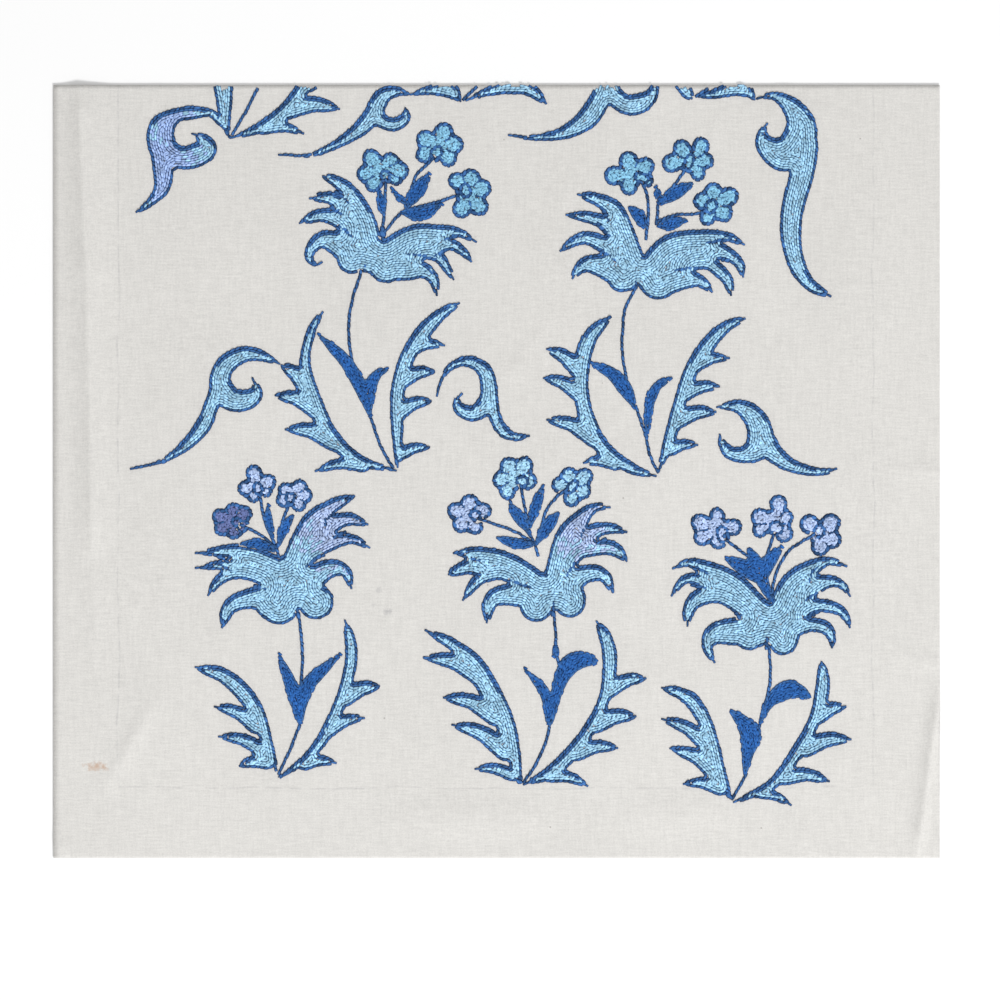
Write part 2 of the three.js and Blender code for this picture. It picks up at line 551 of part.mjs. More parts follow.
// Signed distance to the motif on a fine grid, negative inside.
function distanceGrid({ strokes, discs }) {
  const reachOf = [...strokes.flat(), ...discs.map(([x, y, a, b]) => [x, y, Math.max(a, b)])];
  const left = Math.min(...reachOf.map(([x, , r]) => x - r)) - 3 * outlineCell;
  const low = Math.min(...reachOf.map(([, y, r]) => y - r)) - 3 * outlineCell;
  const right = Math.max(...reachOf.map(([x, , r]) => x + r)) + 3 * outlineCell;
  const high = Math.max(...reachOf.map(([, y, r]) => y + r)) + 3 * outlineCell;
  const across = Math.ceil((right - left) / outlineCell) + 1;
  const up = Math.ceil((high - low) / outlineCell) + 1;
  const values = new Float64Array(across * up).fill(9);
  const lower = (fromX, toX, fromY, toY, distance) => {
    const i0 = Math.max(Math.floor((fromX - left) / outlineCell) - 2, 0);
    const i1 = Math.min(Math.ceil((toX - left) / outlineCell) + 2, across - 1);
    const j0 = Math.max(Math.floor((fromY - low) / outlineCell) - 2, 0);
    const j1 = Math.min(Math.ceil((toY - low) / outlineCell) + 2, up - 1);
    for (let j = j0; j <= j1; j += 1) {
      for (let i = i0; i <= i1; i += 1) {
        const here = distance(left + i * outlineCell, low + j * outlineCell);
        values[j * across + i] = Math.min(values[j * across + i], here);
      }
    }
  };
  for (const line of strokes) {
    for (let index = 0; index < line.length - 1; index += 1) {
      const [ax, ay, ar] = line[index];
      const [bx, by, br] = line[index + 1];
      const dx = bx - ax;
      const dy = by - ay;
      const r = Math.max(ar, br);
      lower(Math.min(ax, bx) - r, Math.max(ax, bx) + r, Math.min(ay, by) - r, Math.max(ay, by) + r, (x, y) => {
        const share = clamp01(((x - ax) * dx + (y - ay) * dy) / Math.max(dx * dx + dy * dy, 1e-9));
        return Math.hypot(x - ax - share * dx, y - ay - share * dy) - (ar + (br - ar) * share);
      });
    }
  }
  for (const [cx, cy, a, b] of discs) {
    lower(cx - a, cx + a, cy - b, cy + b, (x, y) => (Math.hypot((x - cx) / a, (y - cy) / b) - 1) * Math.min(a, b));
  }
  return { values, across, up, left, low };
}

// Closed outlines of the motif, counter-clockwise outside and clockwise round openings.
function outlines({ values, across, up, left, low }) {
  const value = (i, j) => values[j * across + i];
  const crossing = (i0, j0, i1, j1) => {
    const a = value(i0, j0);
    const share = Math.min(Math.max(a / (a - value(i1, j1)), 0.02), 0.98);
    return [left + (i0 + (i1 - i0) * share) * outlineCell, low + (j0 + (j1 - j0) * share) * outlineCell];
  };
  const follow = new Map();
  const place = new Map();
  const edge = (i0, j0, i1, j1) => {
    const key = i0 === i1 ? `v${i0},${Math.min(j0, j1)}` : `h${Math.min(i0, i1)},${j0}`;
    if (!place.has(key)) {
      place.set(key, crossing(i0, j0, i1, j1));
    }
    return key;
  };
  for (let j = 0; j < up - 1; j += 1) {
    for (let i = 0; i < across - 1; i += 1) {
      const corners = [[i, j], [i + 1, j], [i + 1, j + 1], [i, j + 1]];
      const inside = corners.map(([ci, cj]) => value(ci, cj) < 0);
      corners.forEach(([ci, cj], index) => {
        const next = (index + 1) % 4;
        if (!inside[index] || inside[next]) {
          return;
        }
        let back = next;
        while (inside[back] || !inside[(back + 1) % 4]) {
          back = (back + 1) % 4;
        }
        const leave = edge(ci, cj, ...corners[next]);
        const enter = edge(...corners[back], ...corners[(back + 1) % 4]);
        follow.set(leave, enter);
      });
    }
  }
  const loops = [];
  while (follow.size > 0) {
    const loop = [];
    let key = follow.keys().next().value;
    while (follow.has(key)) {
      loop.push(place.get(key));
      const next = follow.get(key);
      follow.delete(key);
      key = next;
    }
    loops.push(loop);
  }
  return loops;
}

// Drops the points that lie within the tolerance of a straight run.
function thinned(points) {
  const keep = new Set([0, Math.floor(points.length / 2)]);
  const visit = (from, to) => {
    const [ax, ay] = points[from];
    const [bx, by] = points[to % points.length];
    const length = Math.max(Math.hypot(bx - ax, by - ay), 1e-9);
    let farthest = -1;
    let distance = outlineTolerance;
    for (let index = from + 1; index < to; index += 1) {
      const [x, y] = points[index];
      const aside = Math.abs((x - ax) * (by - ay) - (y - ay) * (bx - ax)) / length;
      if (aside > distance) {
        distance = aside;
        farthest = index;
      }
    }
    if (farthest > 0) {
      keep.add(farthest);
      visit(from, farthest);
      visit(farthest, to);
    }
  };
  visit(0, Math.floor(points.length / 2));
  visit(Math.floor(points.length / 2), points.length);
  return [...keep].sort((a, b) => a - b).map((index) => new THREE.Vector2(...points[index]));
}

function toManifold(geometry) {
  const bare = new THREE.BufferGeometry();
  bare.setAttribute("position", geometry.getAttribute("position"));
  bare.setIndex(geometry.getIndex());
  const merged = mergeVertices(bare, 1e-4);
  return new wasm.Manifold(new wasm.Mesh({
    numProp: 3,
    vertProperties: new Float32Array(merged.getAttribute("position").array),
    triVerts: new Uint32Array(merged.getIndex().array),
  }));
}

function fromManifold(solid) {
  const result = solid.getMesh();
  const geometry = new THREE.BufferGeometry();
  geometry.setAttribute("position", new THREE.Float32BufferAttribute(result.vertProperties, 3));
  geometry.setIndex([...result.triVerts]);
  geometry.computeVertexNormals();
  return geometry;
}

const threadLayer = toManifold(sheetGeometry(clothThickness + stitchGap, clothThickness + stitchGap + stitchThickness));

// One embroidered motif: its outline cut from the thread layer that follows the cloth.
function motifGeometry(name) {
  const loops = outlines(distanceGrid(motifPieces(name))).map(thinned);
  const outer = loops.filter((loop) => THREE.ShapeUtils.area(loop) > 0);
  const openings = loops.filter((loop) => THREE.ShapeUtils.area(loop) < -4);
  outer.sort((a, b) => THREE.ShapeUtils.area(b) - THREE.ShapeUtils.area(a));
  const shape = new THREE.Shape(outer[0]);
  shape.holes = openings.map((loop) => new THREE.Path(loop));
  const prism = new THREE.ExtrudeGeometry(shape, { depth: 12, bevelEnabled: false });
  return fromManifold(toManifold(prism).intersect(threadLayer));
}

function addPiece(group, name, geometry, colour, roughness) {
  const material = new THREE.MeshStandardMaterial({ color: colour, roughness });
  const mesh = new THREE.Mesh(geometry, material);
  mesh.name = name;
  group.add(mesh);
}

const suzani = new THREE.Group();
suzani.name = "suzani_cloth";

const ground = sheetGeometry(0, clothThickness);
ground.computeVertexNormals();
addPiece(suzani, "ground_cloth", ground, clothColour, 0.95);

for (const name of Object.keys({ ...taperedStrokes, ...florets })) {
  addPiece(suzani, `motif_${name}`, motifGeometry(name), threadColour, 0.6);
}

export default suzani;
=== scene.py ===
"""Suzani cloth: cream cotton with blue chain-stitch plants, seen from straight above.

The charts are in millimetres from the middle of the cloth, X along it and Y across it. Every mesh is in metres.
"""

import logging
import math
from dataclasses import dataclass
from enum import Enum
from functools import reduce

import bpy
import numpy as np
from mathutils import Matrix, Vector


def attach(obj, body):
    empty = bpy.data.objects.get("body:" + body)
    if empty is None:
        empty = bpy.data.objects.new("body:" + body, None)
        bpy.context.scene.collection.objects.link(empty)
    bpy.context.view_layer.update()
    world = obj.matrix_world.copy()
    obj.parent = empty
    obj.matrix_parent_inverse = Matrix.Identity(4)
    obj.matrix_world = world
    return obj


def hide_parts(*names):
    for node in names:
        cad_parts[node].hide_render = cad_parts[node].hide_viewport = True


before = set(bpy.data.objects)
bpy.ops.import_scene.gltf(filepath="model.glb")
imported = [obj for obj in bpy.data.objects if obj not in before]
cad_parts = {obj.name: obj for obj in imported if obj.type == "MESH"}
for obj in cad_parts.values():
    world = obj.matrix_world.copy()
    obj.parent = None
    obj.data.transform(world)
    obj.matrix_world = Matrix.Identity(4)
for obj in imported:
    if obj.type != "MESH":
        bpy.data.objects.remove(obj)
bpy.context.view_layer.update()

log = logging.getLogger("suzani")

MM = 0.001
TINY = 1e-9

# Seed of the hand's unevenness.
HAND_SEED = 12

# How full the tip of a leaf is, from 0 for a square end.
TIP_FULLNESS = 0.8

# How crisp the crest of a crease is, 1 for a straight-sided ridge.
CREST_SHARPNESS = 1.7

# Distance round a stroke over which it is measured, and the distance of all that is out of reach.
FIELD_REACH = 3.0
OUT_OF_REACH = 9.0

# Part of a cell's edge in which a contour crosses it.
CROSSING_RANGE = (0.02, 0.98)

# Range that most values of a noise lie in.
NOISE_RANGE = (0.3, 0.7)

# x and y of a point, x, y and half width of a stroke, least and greatest of a range, red, green and blue.
Point = tuple[float, float]
Knot = tuple[float, float, float]
Span = tuple[float, float]
Colour = tuple[float, float, float]


class Shade(Enum):
    """Colours of the cotton thread: its own colour on the crest of a loop, then a darker painted shade colour for the
    foot and hollow of the loop and the gaps between rows, as sRGB values from 0 to 255.
    """

    NAVY = ((60, 104, 160), (10, 38, 90))
    COBALT = ((44, 100, 172), (6, 34, 94))
    AZURE = ((140, 198, 228), (28, 84, 142))
    SKY = ((170, 216, 242), (46, 104, 160))
    PERIWINKLE = ((166, 192, 238), (50, 84, 146))
    LILAC = ((182, 202, 238), (62, 92, 154))
    MAUVE = ((108, 122, 174), (30, 44, 94))


@dataclass(frozen=True)
class Floret:
    """Small round flower.

    Attributes:
        petals: x, y, radius of the middle and then of each petal, in order round the flower.
        eye: Small ring near the stalk: x, y, half length, half width, direction in degrees.
        filling: Thread that fills the petals.
    """

    petals: tuple[Knot, ...]
    eye: tuple[float, float, float, float, float]
    filling: Shade


@dataclass(frozen=True)
class Motif:
    """One plant or scroll of the chart.

    Attributes:
        leaves: Light leaves and wing petals, each a line of x, y, half width to the outside of the outline.
        barbs: Light side leaves, each x and y of the root, x and y of the tip, half width at the root.
        bellies: Light rounded parts of a flower head, each x, y, half length, half width.
        florets: Round flowers.
        blades: Solid dark leaves, each a line of x, y, half width.
        stems: Stalks of one row, each a line of x, y.
        notches: Dark wedges that run in between the petals, each a line of x, y, half width.
        patches: Places where another thread fills the leaves, each x, y, reach, shade.
    """

    leaves: tuple[tuple[Knot, ...], ...] = ()
    barbs: tuple[tuple[float, float, float, float, float], ...] = ()
    bellies: tuple[tuple[float, float, float, float], ...] = ()
    florets: tuple[Floret, ...] = ()
    blades: tuple[tuple[Knot, ...], ...] = ()
    stems: tuple[tuple[Point, ...], ...] = ()
    notches: tuple[tuple[Knot, ...], ...] = ()
    patches: tuple[tuple[float, float, float, Shade], ...] = ()


MOTIFS: dict[str, Motif] = {
    "lower_left": Motif(
        leaves=(
            ((-131, -183, 1), (-138, -161, 3.6), (-147, -139, 5.2), (-163, -123, 4.7), (-181, -117.5, 0)),
            ((-130, -184, 1), (-109.5, -167.5, 3.4), (-95.5, -143, 3.8), (-88, -119, 3.8), (-87.5, -103, 3.5),
             (-91, -89, 0)),
            ((-124, -64, 9), (-150, -48.5, 4.5), (-181, -49, 0)),
            ((-124, -64, 9), (-152, -55.5, 4), (-181, -58, 0)),
            ((-124, -66, 9), (-151, -60, 5), (-165, -64, 3.4), (-173.5, -74.5, 0)),
            ((-122, -74, 9), (-146, -76, 6.5), (-160, -81, 4.5), (-165, -94, 0)),
            ((-124, -62, 8), (-112, -34, 7.5), (-100, -21.5, 4.5), (-85, -14.5, 0)),
            ((-122, -60, 7), (-104, -36, 6), (-90, -28.5, 4.2), (-77, -32, 0)),
            ((-126, -56, 6), (-102, -43.5, 5.3), (-87, -40.5, 3), (-76, -46, 0)),
            ((-116, -68, 8), (-101, -58.5, 6), (-91, -59.5, 3.6), (-87, -70.5, 0)),
        ),
        barbs=(
            (-144, -153, -169.5, -141, 5.1), (-140, -168, -167, -159, 4.8), (-138, -174.5, -154.5, -177, 4.6),
            (-90.5, -135.5, -70, -129, 5.8), (-100.6, -155.2, -79, -148, 4.6), (-115, -175.5, -96, -175, 4.2),
        ),
        bellies=(
            (-130.5, -80, 12, 12), (-136.5, -79.5, 9, 9), (-108.5, -78, 11, 11), (-120, -68, 9, 12.5),
        ),
        florets=(
            Floret(petals=((-143.6, -9.3, 6.6), (-145.5, -0.8, 5.4), (-137, -6.3, 5.2), (-138.6, -11.8, 4.4),
                           (-145.9, -14.7, 4.6), (-150.7, -9.9, 5.2)),
                   eye=(-143.1, -10.5, 4.4, 2.5, 105), filling=Shade.LILAC),
            Floret(petals=((-121.8, -14.3, 6.8), (-118.4, -9.6, 5.4), (-114.9, -14.3, 5.1), (-118.3, -20.3, 4.6),
                           (-127.8, -17.5, 5), (-126.7, -11.2, 4.9)),
                   eye=(-123.9, -16, 3.4, 3.1, 90), filling=Shade.LILAC),
            Floret(petals=((-158.6, -29.5, 7.8), (-157.9, -23.8, 5.5), (-151.4, -25.1, 5.3), (-152.9, -32.7, 5),
                           (-157.7, -35.9, 5.3), (-164.9, -34, 5.2), (-166.2, -27, 5.2)),
                   eye=(-156, -30.2, 3, 2.8, 0), filling=Shade.MAUVE),
        ),
        blades=(
            ((-118, -150, 2), (-122.5, -131, 4), (-130.5, -110, 0)),
            ((-118, -150, 2), (-117, -138, 4), (-111.5, -126, 4.2), (-94, -110, 0)),
            ((-134, -41, 0.9), (-137, -30, 2.8), (-137, -20.5, 0)),
            ((-131, -45, 1), (-127.5, -34, 3.2), (-122, -26, 0)),
            ((-132, -48, 1), (-142, -43.5, 3.2), (-154, -43.5, 0)),
        ),
        stems=(
            ((-131, -182), (-124, -167), (-118, -152)),
            ((-117.5, -128), (-116.5, -112), (-117.5, -97), (-119, -85)),
            ((-143, -12.5), (-141.5, -17), (-139, -30), (-133, -44), (-130.5, -52)),
            ((-154, -31.8), (-140, -39), (-133, -46)),
            ((-124, -18.5), (-129, -32), (-131, -45)),
        ),
        notches=(
            ((-170, -49.5, 1), (-166, -51.2, 1.3), (-160.5, -54.5, 0.6)),
            ((-166, -56, 0.8), (-162, -57.8, 1), (-159, -60, 0.5)),
            ((-146, -68.8, 1.4), (-142, -69.8, 1.4), (-138, -70.3, 0.7)),
            ((-97, -24.5, 1.3), (-102.5, -28.5, 1.6), (-103, -33, 0.8)),
            ((-90, -36.3, 0.9), (-95, -38.3, 1.3), (-98, -40, 0.7)),
            ((-103, -49.8, 0.8), (-109, -52.4, 1.5), (-115, -58, 0.7)),
            ((-119, -88, 1.1), (-119.4, -84, 1.1), (-120, -81, 0.5)),
        ),
        patches=((-95, -33, 22, Shade.LILAC),),
    ),
    "lower_middle": Motif(
        leaves=(
            ((14.2, -187.5, 1.5), (9.8, -168, 4.7), (3, -146, 6.3), (-12, -118, 6.3), (-25, -104.8, 3.8),
             (-43, -95, 0)),
            ((16, -188, 1), (35, -178.8, 4.3), (53, -158.5, 4), (64.5, -137, 3.6), (68, -116, 4.5), (66, -101, 4),
             (60, -89.5, 0)),
            ((29, -71, 8), (10, -56, 6), (-8, -49.6, 4.4), (-26, -49, 0)),
            ((29, -71, 8), (6, -60, 6), (-12, -56.5, 5), (-22, -58.7, 3.8), (-29, -62, 0)),
            ((28, -70, 8), (8, -61.5, 4.4), (-6, -62.8, 3.8), (-13, -67.2, 3.4), (-20.5, -77.5, 0)),
            ((27, -77, 7), (10, -74, 7), (-3, -77, 4.8), (-6, -91, 0)),
            ((35, -64, 7), (43, -40, 8), (52, -27, 5), (59, -21.5, 2.8), (68.5, -21.5, 0)),
            ((37, -58, 7), (54, -39, 5.5), (66, -34, 3.6), (78.5, -36.5, 0)),
            ((38, -60, 7), (48, -48.5, 5.5), (58, -46, 5), (70, -46, 4.4), (78.5, -54, 0)),
            ((38, -72, 8), (52, -62, 6), (64, -62, 4), (70, -73, 0)),
        ),
        barbs=(
            (-9, -124, -44, -111.5, 6), (-1, -147, -32, -135.5, 6), (5, -168, -27, -152, 6),
            (9, -182, -13, -178.5, 4.2), (67.7, -131.2, 90, -124, 5.3), (59.9, -151.5, 84, -147, 6),
            (48, -169, 73, -166, 5.3), (32, -182.5, 55, -189, 4.3),
        ),
        bellies=(
            (24, -81, 10, 9.5), (44, -77, 10, 11), (36, -72, 10, 12),
        ),
        blades=(
            ((32.5, -151, 1.5), (37.5, -128, 4), (44, -116, 6), (52, -113, 4.5), (60.5, -114, 0)),
            ((31.5, -151, 1.8), (29, -133, 3.2), (17, -118.5, 0)),
            ((35.5, -106.5, 2.2), (35.5, -109.5, 2.4)),
        ),
        stems=(
            ((16, -187), (24, -175), (29, -164), (32.5, -150)),
            ((38, -117), (36, -110), (35.5, -98), (34.5, -84)),
        ),
        notches=(
            ((-16, -52, 0.7), (-13, -52.7, 0.9), (-9.5, -54, 0.5)),
            ((-17, -61, 0.8), (-13, -61.4, 1.2), (-9, -62, 0.5)),
            ((8, -64.6, 0.9), (14, -67.5, 1.4), (21.4, -69.8, 0.6)),
            ((55, -31.5, 1), (51.8, -35, 1.3), (50.8, -39.5, 0.6)),
            ((66, -40, 0.8), (63, -41.5, 1), (60, -43.3, 0.5)),
            ((47.5, -54.5, 0.9), (44.5, -58, 1.6), (42, -62.8, 0.6)),
            ((33.7, -87, 1.1), (33.9, -82, 1), (34.4, -78, 0.5)),
        ),
        patches=((52, -33, 16, Shade.LILAC),),
    ),
    "lower_right": Motif(
        leaves=(
            ((141, -198, 1.2), (133.5, -178, 3.8), (128, -157, 4), (119, -139.5, 4.8), (110, -133, 3.6),
             (99, -130, 0)),
            ((142, -198.5, 1.3), (165, -188, 3.4), (180, -169, 4), (191.5, -148, 3.8), (195.5, -131, 4.5),
             (196, -121, 3.4), (195, -114, 0)),
            ((158, -84, 8), (141, -67, 7.5), (124, -57.5, 4.6), (115, -54.7, 2.6), (105.5, -58.5, 0)),
            ((155, -82, 8), (133, -69, 5.5), (117, -64, 3.4), (110, -67.5, 2.4), (105, -75, 0)),
            ((156, -84, 8), (136, -73.5, 6.5), (122, -75.5, 5.4), (115.5, -83, 3.7), (114.5, -93, 0)),
            ((158, -96, 9), (143, -96, 8.5), (131, -97.5, 6.5), (126.5, -105, 3.2), (131, -115, 0)),
            ((168, -84, 6), (178, -68, 8), (190, -57.5, 5), (200, -53.8, 2.6), (210.5, -57, 0)),
            ((174, -82, 8), (190, -69, 6), (201, -66, 3.8), (208, -68.5, 2.4), (212.5, -75, 0)),
            ((174, -86, 8), (190, -80.5, 4.6), (202, -81.5, 3.8), (209, -86, 2.6), (212, -94, 0)),
            ((172, -94, 9), (187, -91.8, 4.8), (197, -93.5, 4.2), (201, -99, 2.8), (201.5, -106, 0)),
        ),
        barbs=(
            (127, -165, 99, -148.5, 5.3), (131.5, -181, 104, -166, 5.6), (134, -190.5, 112, -187.5, 4.4),
            (193.1, -147, 210, -141, 5.1), (186, -166, 213, -161, 5.8), (173, -183.5, 200, -186, 5.1),
            (158.5, -193.5, 177, -200.5, 3.4),
        ),
        bellies=(
            (152, -99, 9, 8.5), (172, -100, 9.5, 10.5), (164, -90, 12, 12),
        ),
        florets=(
            Floret(petals=((131.9, -34, 7.9), (132.5, -26.2, 5.2), (142.1, -33.4, 5.7), (133.1, -41.9, 5.4),
                           (123.2, -39.8, 5.4), (122, -30.7, 5.9)),
                   eye=(135.7, -37.7, 5.2, 3.4, 105), filling=Shade.LILAC),
            Floret(petals=((166.6, -30.4, 7.8), (169.3, -19.2, 5.8), (174.3, -27.4, 4.6), (172.6, -37.1, 6),
                           (158, -35.3, 5), (158.6, -27.8, 6.4)),
                   eye=(167.7, -34, 4.2, 4.1, 0), filling=Shade.LILAC),
            Floret(petals=((195.2, -38.3, 7.4), (200.6, -30.8, 6.3), (201.6, -40.9, 5.8), (194.2, -45.3, 5.8),
                           (187.9, -31.6, 6.4)),
                   eye=(193.6, -35.8, 4, 3.4, 60), filling=Shade.LILAC),
        ),
        blades=(
            ((158.5, -150, 1.2), (163.5, -139, 3.3), (173, -131.5, 5.8), (181, -131.5, 4.2), (188, -136, 0)),
            ((149, -182, 1.2), (151, -168, 4), (152.5, -158, 6.5), (148, -150.5, 4), (141, -144, 0)),
            ((162, -68, 1.5), (151, -59, 5), (137.5, -52, 0)),
            ((161, -66, 1.5), (156, -55, 4), (151, -46, 0)),
            ((160, -66, 1.5), (163, -55, 4.5), (171, -45.5, 0)),
            ((158, -62, 4), (161.2, -69.5, 3.4), (164.6, -77, 1.6)),
        ),
        stems=(
            ((141, -197), (146, -189), (150, -181)),
            ((157.5, -154), (162, -138), (164.5, -122), (163.5, -104)),
            ((137.4, -41), (145, -46.5), (151, -51)),
            ((166.5, -37.5), (163, -48), (161, -54)),
            ((191.5, -37.5), (178, -45.5), (171.5, -53.5), (167, -64), (165, -76)),
        ),
        notches=(
            ((119, -57, 0.8), (124, -59.4, 1.2), (127.5, -62, 0.6)),
            ((116.5, -68, 0.8), (121, -69, 1.4), (126, -69.7, 0.6)),
            ((140.5, -82, 0.8), (144, -84.8, 1.3), (146.2, -88.7, 0.6)),
            ((193, -57.5, 0.8), (189, -60.5, 1.3), (187.8, -66.8, 0.6)),
            ((193, -72.5, 0.8), (188.5, -75, 1.3), (185, -77.6, 0.6)),
            ((194, -84, 0.8), (189, -86, 1.5), (184, -87.6, 0.6)),
            ((162.2, -107, 1), (162.2, -103.5, 1), (162.4, -99.5, 0.5)),
        ),
    ),
    "upper_left": Motif(
        leaves=(
            ((-60, 0.5, 1), (-84, 7.5, 3.8), (-101, 24, 4.9), (-111.5, 48, 4.9), (-115, 67, 3.4), (-110.5, 86, 2.7),
             (-104, 96, 0)),
            ((-59.5, 2.3, 1), (-59.5, 22, 3.6), (-59.5, 45, 4.5), (-54.5, 66, 4.7), (-44, 83.5, 5), (-32, 95.5, 3.4),
             (-22, 101, 0)),
            ((-76, 134, 8), (-80, 152, 7), (-88, 167.4, 5), (-97, 174.6, 3.4), (-104.5, 177.5, 0)),
            ((-82, 148, 8), (-93, 160, 5), (-101, 164.4, 3.8), (-112.5, 164, 0)),
            ((-80, 142, 8), (-95, 151.5, 5.5), (-106, 153.8, 4), (-118.5, 149, 0)),
            ((-80, 132, 8), (-92, 135.5, 8), (-103, 139.5, 5.5), (-110.5, 135, 4), (-112.5, 127.5, 2.4),
             (-108, 124, 1.3), (-104.5, 125.8, 0.3)),
            ((-66, 131, 8), (-50, 138, 10), (-36, 143, 5.5), (-23, 143.6, 2.8), (-12, 137.5, 0)),
            ((-60, 130, 8), (-42, 134.5, 6.5), (-28, 136.5, 3.7), (-21, 132.8, 2.9), (-14.8, 125.8, 0)),
            ((-60, 128, 8), (-44, 131.5, 4.5), (-35, 129, 3.7), (-30, 122.5, 2.8), (-25.8, 115, 0)),
            ((-68, 124, 9), (-54, 121.5, 7), (-44, 121, 5), (-37.5, 115, 3.2), (-35.8, 105.5, 0)),
            ((-130, 64.5, 0.6), (-140, 69, 3.4), (-151, 70.5, 5), (-162, 64.5, 6), (-166, 55, 6.5), (-163, 47, 7.5),
             (-157.5, 42.5, 7), (-149, 43.5, 6.3), (-144, 48, 3.8), (-146.5, 56.5, 0.3)),
            ((-166, 54, 5), (-171, 40, 4.6), (-176.5, 27, 5), (-187, 15.5, 3.6), (-199, 7, 1.8), (-208, 4, 1.1),
             (-220, 1.5, 0.8)),
        ),
        barbs=(
            (-114, 50, -129.4, 63.9, 5.8), (-108.2, 36.9, -133, 45.8, 5.8), (-97.7, 17.8, -127, 25.4, 6),
            (-80, 3.5, -109, 0, 4.2), (-50, 74, -31, 75.5, 4.2), (-56, 55, -37, 60, 5.1), (-58, 36, -39, 42.5, 5.1),
            (-57.5, 10.5, -40, 14.5, 4.2),
        ),
        bellies=(
            (-87, 129, 9.5, 10.5), (-66, 123, 11, 10), (-76, 131, 12, 12),
        ),
        florets=(
            Floret(petals=((-69, 180.7, 8.4), (-63.6, 186.1, 6), (-58.2, 180.5, 6.1), (-60.3, 176.1, 5),
                           (-73.9, 172.6, 5.6), (-79, 178.7, 5.5), (-75.1, 188.3, 5.9)),
                   eye=(-66.6, 177.3, 4, 2.8, 100), filling=Shade.AZURE),
            Floret(petals=((-34.7, 195.2, 7.8), (-31.6, 203.9, 6.2), (-25.2, 196.2, 6), (-28.9, 188, 5.5),
                           (-43.5, 190.1, 5.5), (-42.5, 199.4, 6.1)),
                   eye=(-36.1, 191, 4.8, 3.2, 65), filling=Shade.AZURE),
            Floret(petals=((-17.2, 167.5, 7.8), (-15.4, 176.1, 6.1), (-8.5, 169.9, 6), (-10.3, 159, 6),
                           (-20.8, 157.8, 6.2), (-23.8, 174.4, 5.7)),
                   eye=(-18.7, 168.7, 4.2, 3.2, 105), filling=Shade.AZURE),
        ),
        blades=(
            ((-76, 34, 1.3), (-80.5, 48, 3.8), (-90.5, 66, 3.8), (-107, 82, 0)),
            ((-76.5, 36, 1.6), (-76, 50, 4), (-72, 58, 2.8), (-65.5, 61.5, 0)),
            ((-68, 154, 1), (-69, 161, 3), (-70.5, 168, 0)),
            ((-55, 157.5, 1), (-48, 168, 4.5), (-40.5, 178.5, 0)),
            ((-57, 155.5, 1), (-46, 154.5, 4.2), (-33, 160, 0)),
            ((-53, 160, 1), (-58, 164, 2), (-63.5, 170, 0.5)),
        ),
        stems=(
            ((-62, 2), (-69, 14), (-76, 34)),
            ((-86.5, 63), (-88.8, 85), (-87, 101), (-81, 121)),
            ((-66.4, 176), (-67, 158), (-69, 141)),
            ((-37.5, 189), (-41, 185), (-48, 178), (-51, 170)),
            ((-19.7, 166.8), (-40, 160.5), (-55, 156.5), (-63, 149), (-69, 141)),
        ),
        notches=(
            ((-97, 168.5, 1), (-93, 165, 1.4), (-88.5, 161, 0.6)),
            ((-100, 159, 1), (-96, 156.5, 1.7), (-93, 154, 0.7)),
            ((-95, 147.5, 1), (-90, 144.5, 1.5), (-86.8, 140.5, 0.6)),
            ((-21, 142, 1), (-26, 140.7, 1.3), (-31.5, 139.3, 0.6)),
            ((-29.5, 133.8, 1), (-34, 131, 1.6), (-38, 129, 0.7)),
            ((-36, 126.8, 1), (-45, 129.7, 1.5), (-54, 130.5, 0.6)),
            ((-68.5, 147, 1), (-68.5, 142.5, 2.2), (-68, 138, 0.8)),
            ((-79.3, 119.5, 1), (-79, 122, 1), (-78.6, 124.5, 0.5)),
        ),
    ),
    "upper_right": Motif(
        leaves=(
            ((96, -3, 1), (82, 1.5, 3.4), (66, 12, 4.7), (56, 27, 5.2), (51, 46, 4.7), (51.5, 66, 5), (57, 82, 4.5),
             (69, 93, 0)),
            ((97, -1, 1), (103.5, 18, 3.6), (110, 41, 4), (117.5, 62, 4.5), (128, 77.5, 4.7), (138.5, 87.5, 3.4),
             (149.5, 92, 0)),
            ((82, 124, 8), (76, 142, 7.5), (71, 156.6, 5.8), (61, 163.2, 3.9), (48.5, 166.5, 0)),
            ((78, 134, 8), (68, 147, 5), (57, 152.2, 3.8), (41.5, 154, 0)),
            ((78, 126, 8), (66, 135.5, 5.5), (54, 140.3, 4.2), (45.5, 137.6, 3), (38, 132, 0)),
            ((78, 116, 8), (65, 123, 7.5), (54, 124.5, 4.8), (48.5, 120.5, 2.8), (45.5, 115.5, 0)),
            ((92, 122, 8), (106, 132, 11), (124, 140, 5.5), (138, 141, 3), (149, 136, 0)),
            ((104, 124, 9), (124, 132.5, 7), (137, 131.5, 4.6), (145.5, 125, 3.2), (148, 116.5, 0)),
            ((104, 124, 8), (124, 126, 4.5), (134, 120.5, 4.2), (139.3, 113.5, 3.3), (140.7, 105.5, 0)),
            ((96, 114, 10), (112, 115.5, 6.5), (122, 114.5, 3.8), (129.5, 107.5, 0)),
        ),
        barbs=(
            (48, 62, 30, 73.5, 5.3), (49, 47, 28, 56, 5.1), (58, 20, 30, 31, 5.8), (71, 4.5, 52, 5, 4.2),
            (120, 64, 140, 68, 4.3), (113.5, 47, 134, 51, 4.8), (108.7, 30.8, 132, 35.5, 5.6),
            (104, 13, 121, 16, 4.2),
        ),
        bellies=(
            (75, 116.5, 8.5, 9), (97, 114.5, 12, 11.5), (86, 120, 9, 8),
        ),
        blades=(
            ((83.5, 38, 1.2), (77, 50, 4.5), (69, 59, 3.6), (56.5, 65, 0)),
            ((90, 20, 1.2), (91.5, 38, 2.8), (95.5, 50, 2.8), (105.5, 56.5, 0)),
        ),
        stems=(
            ((97, -1), (92, 10), (90, 20), (84, 38)),
            ((78, 55), (75.5, 72), (76, 90), (78, 100), (84, 111)),
        ),
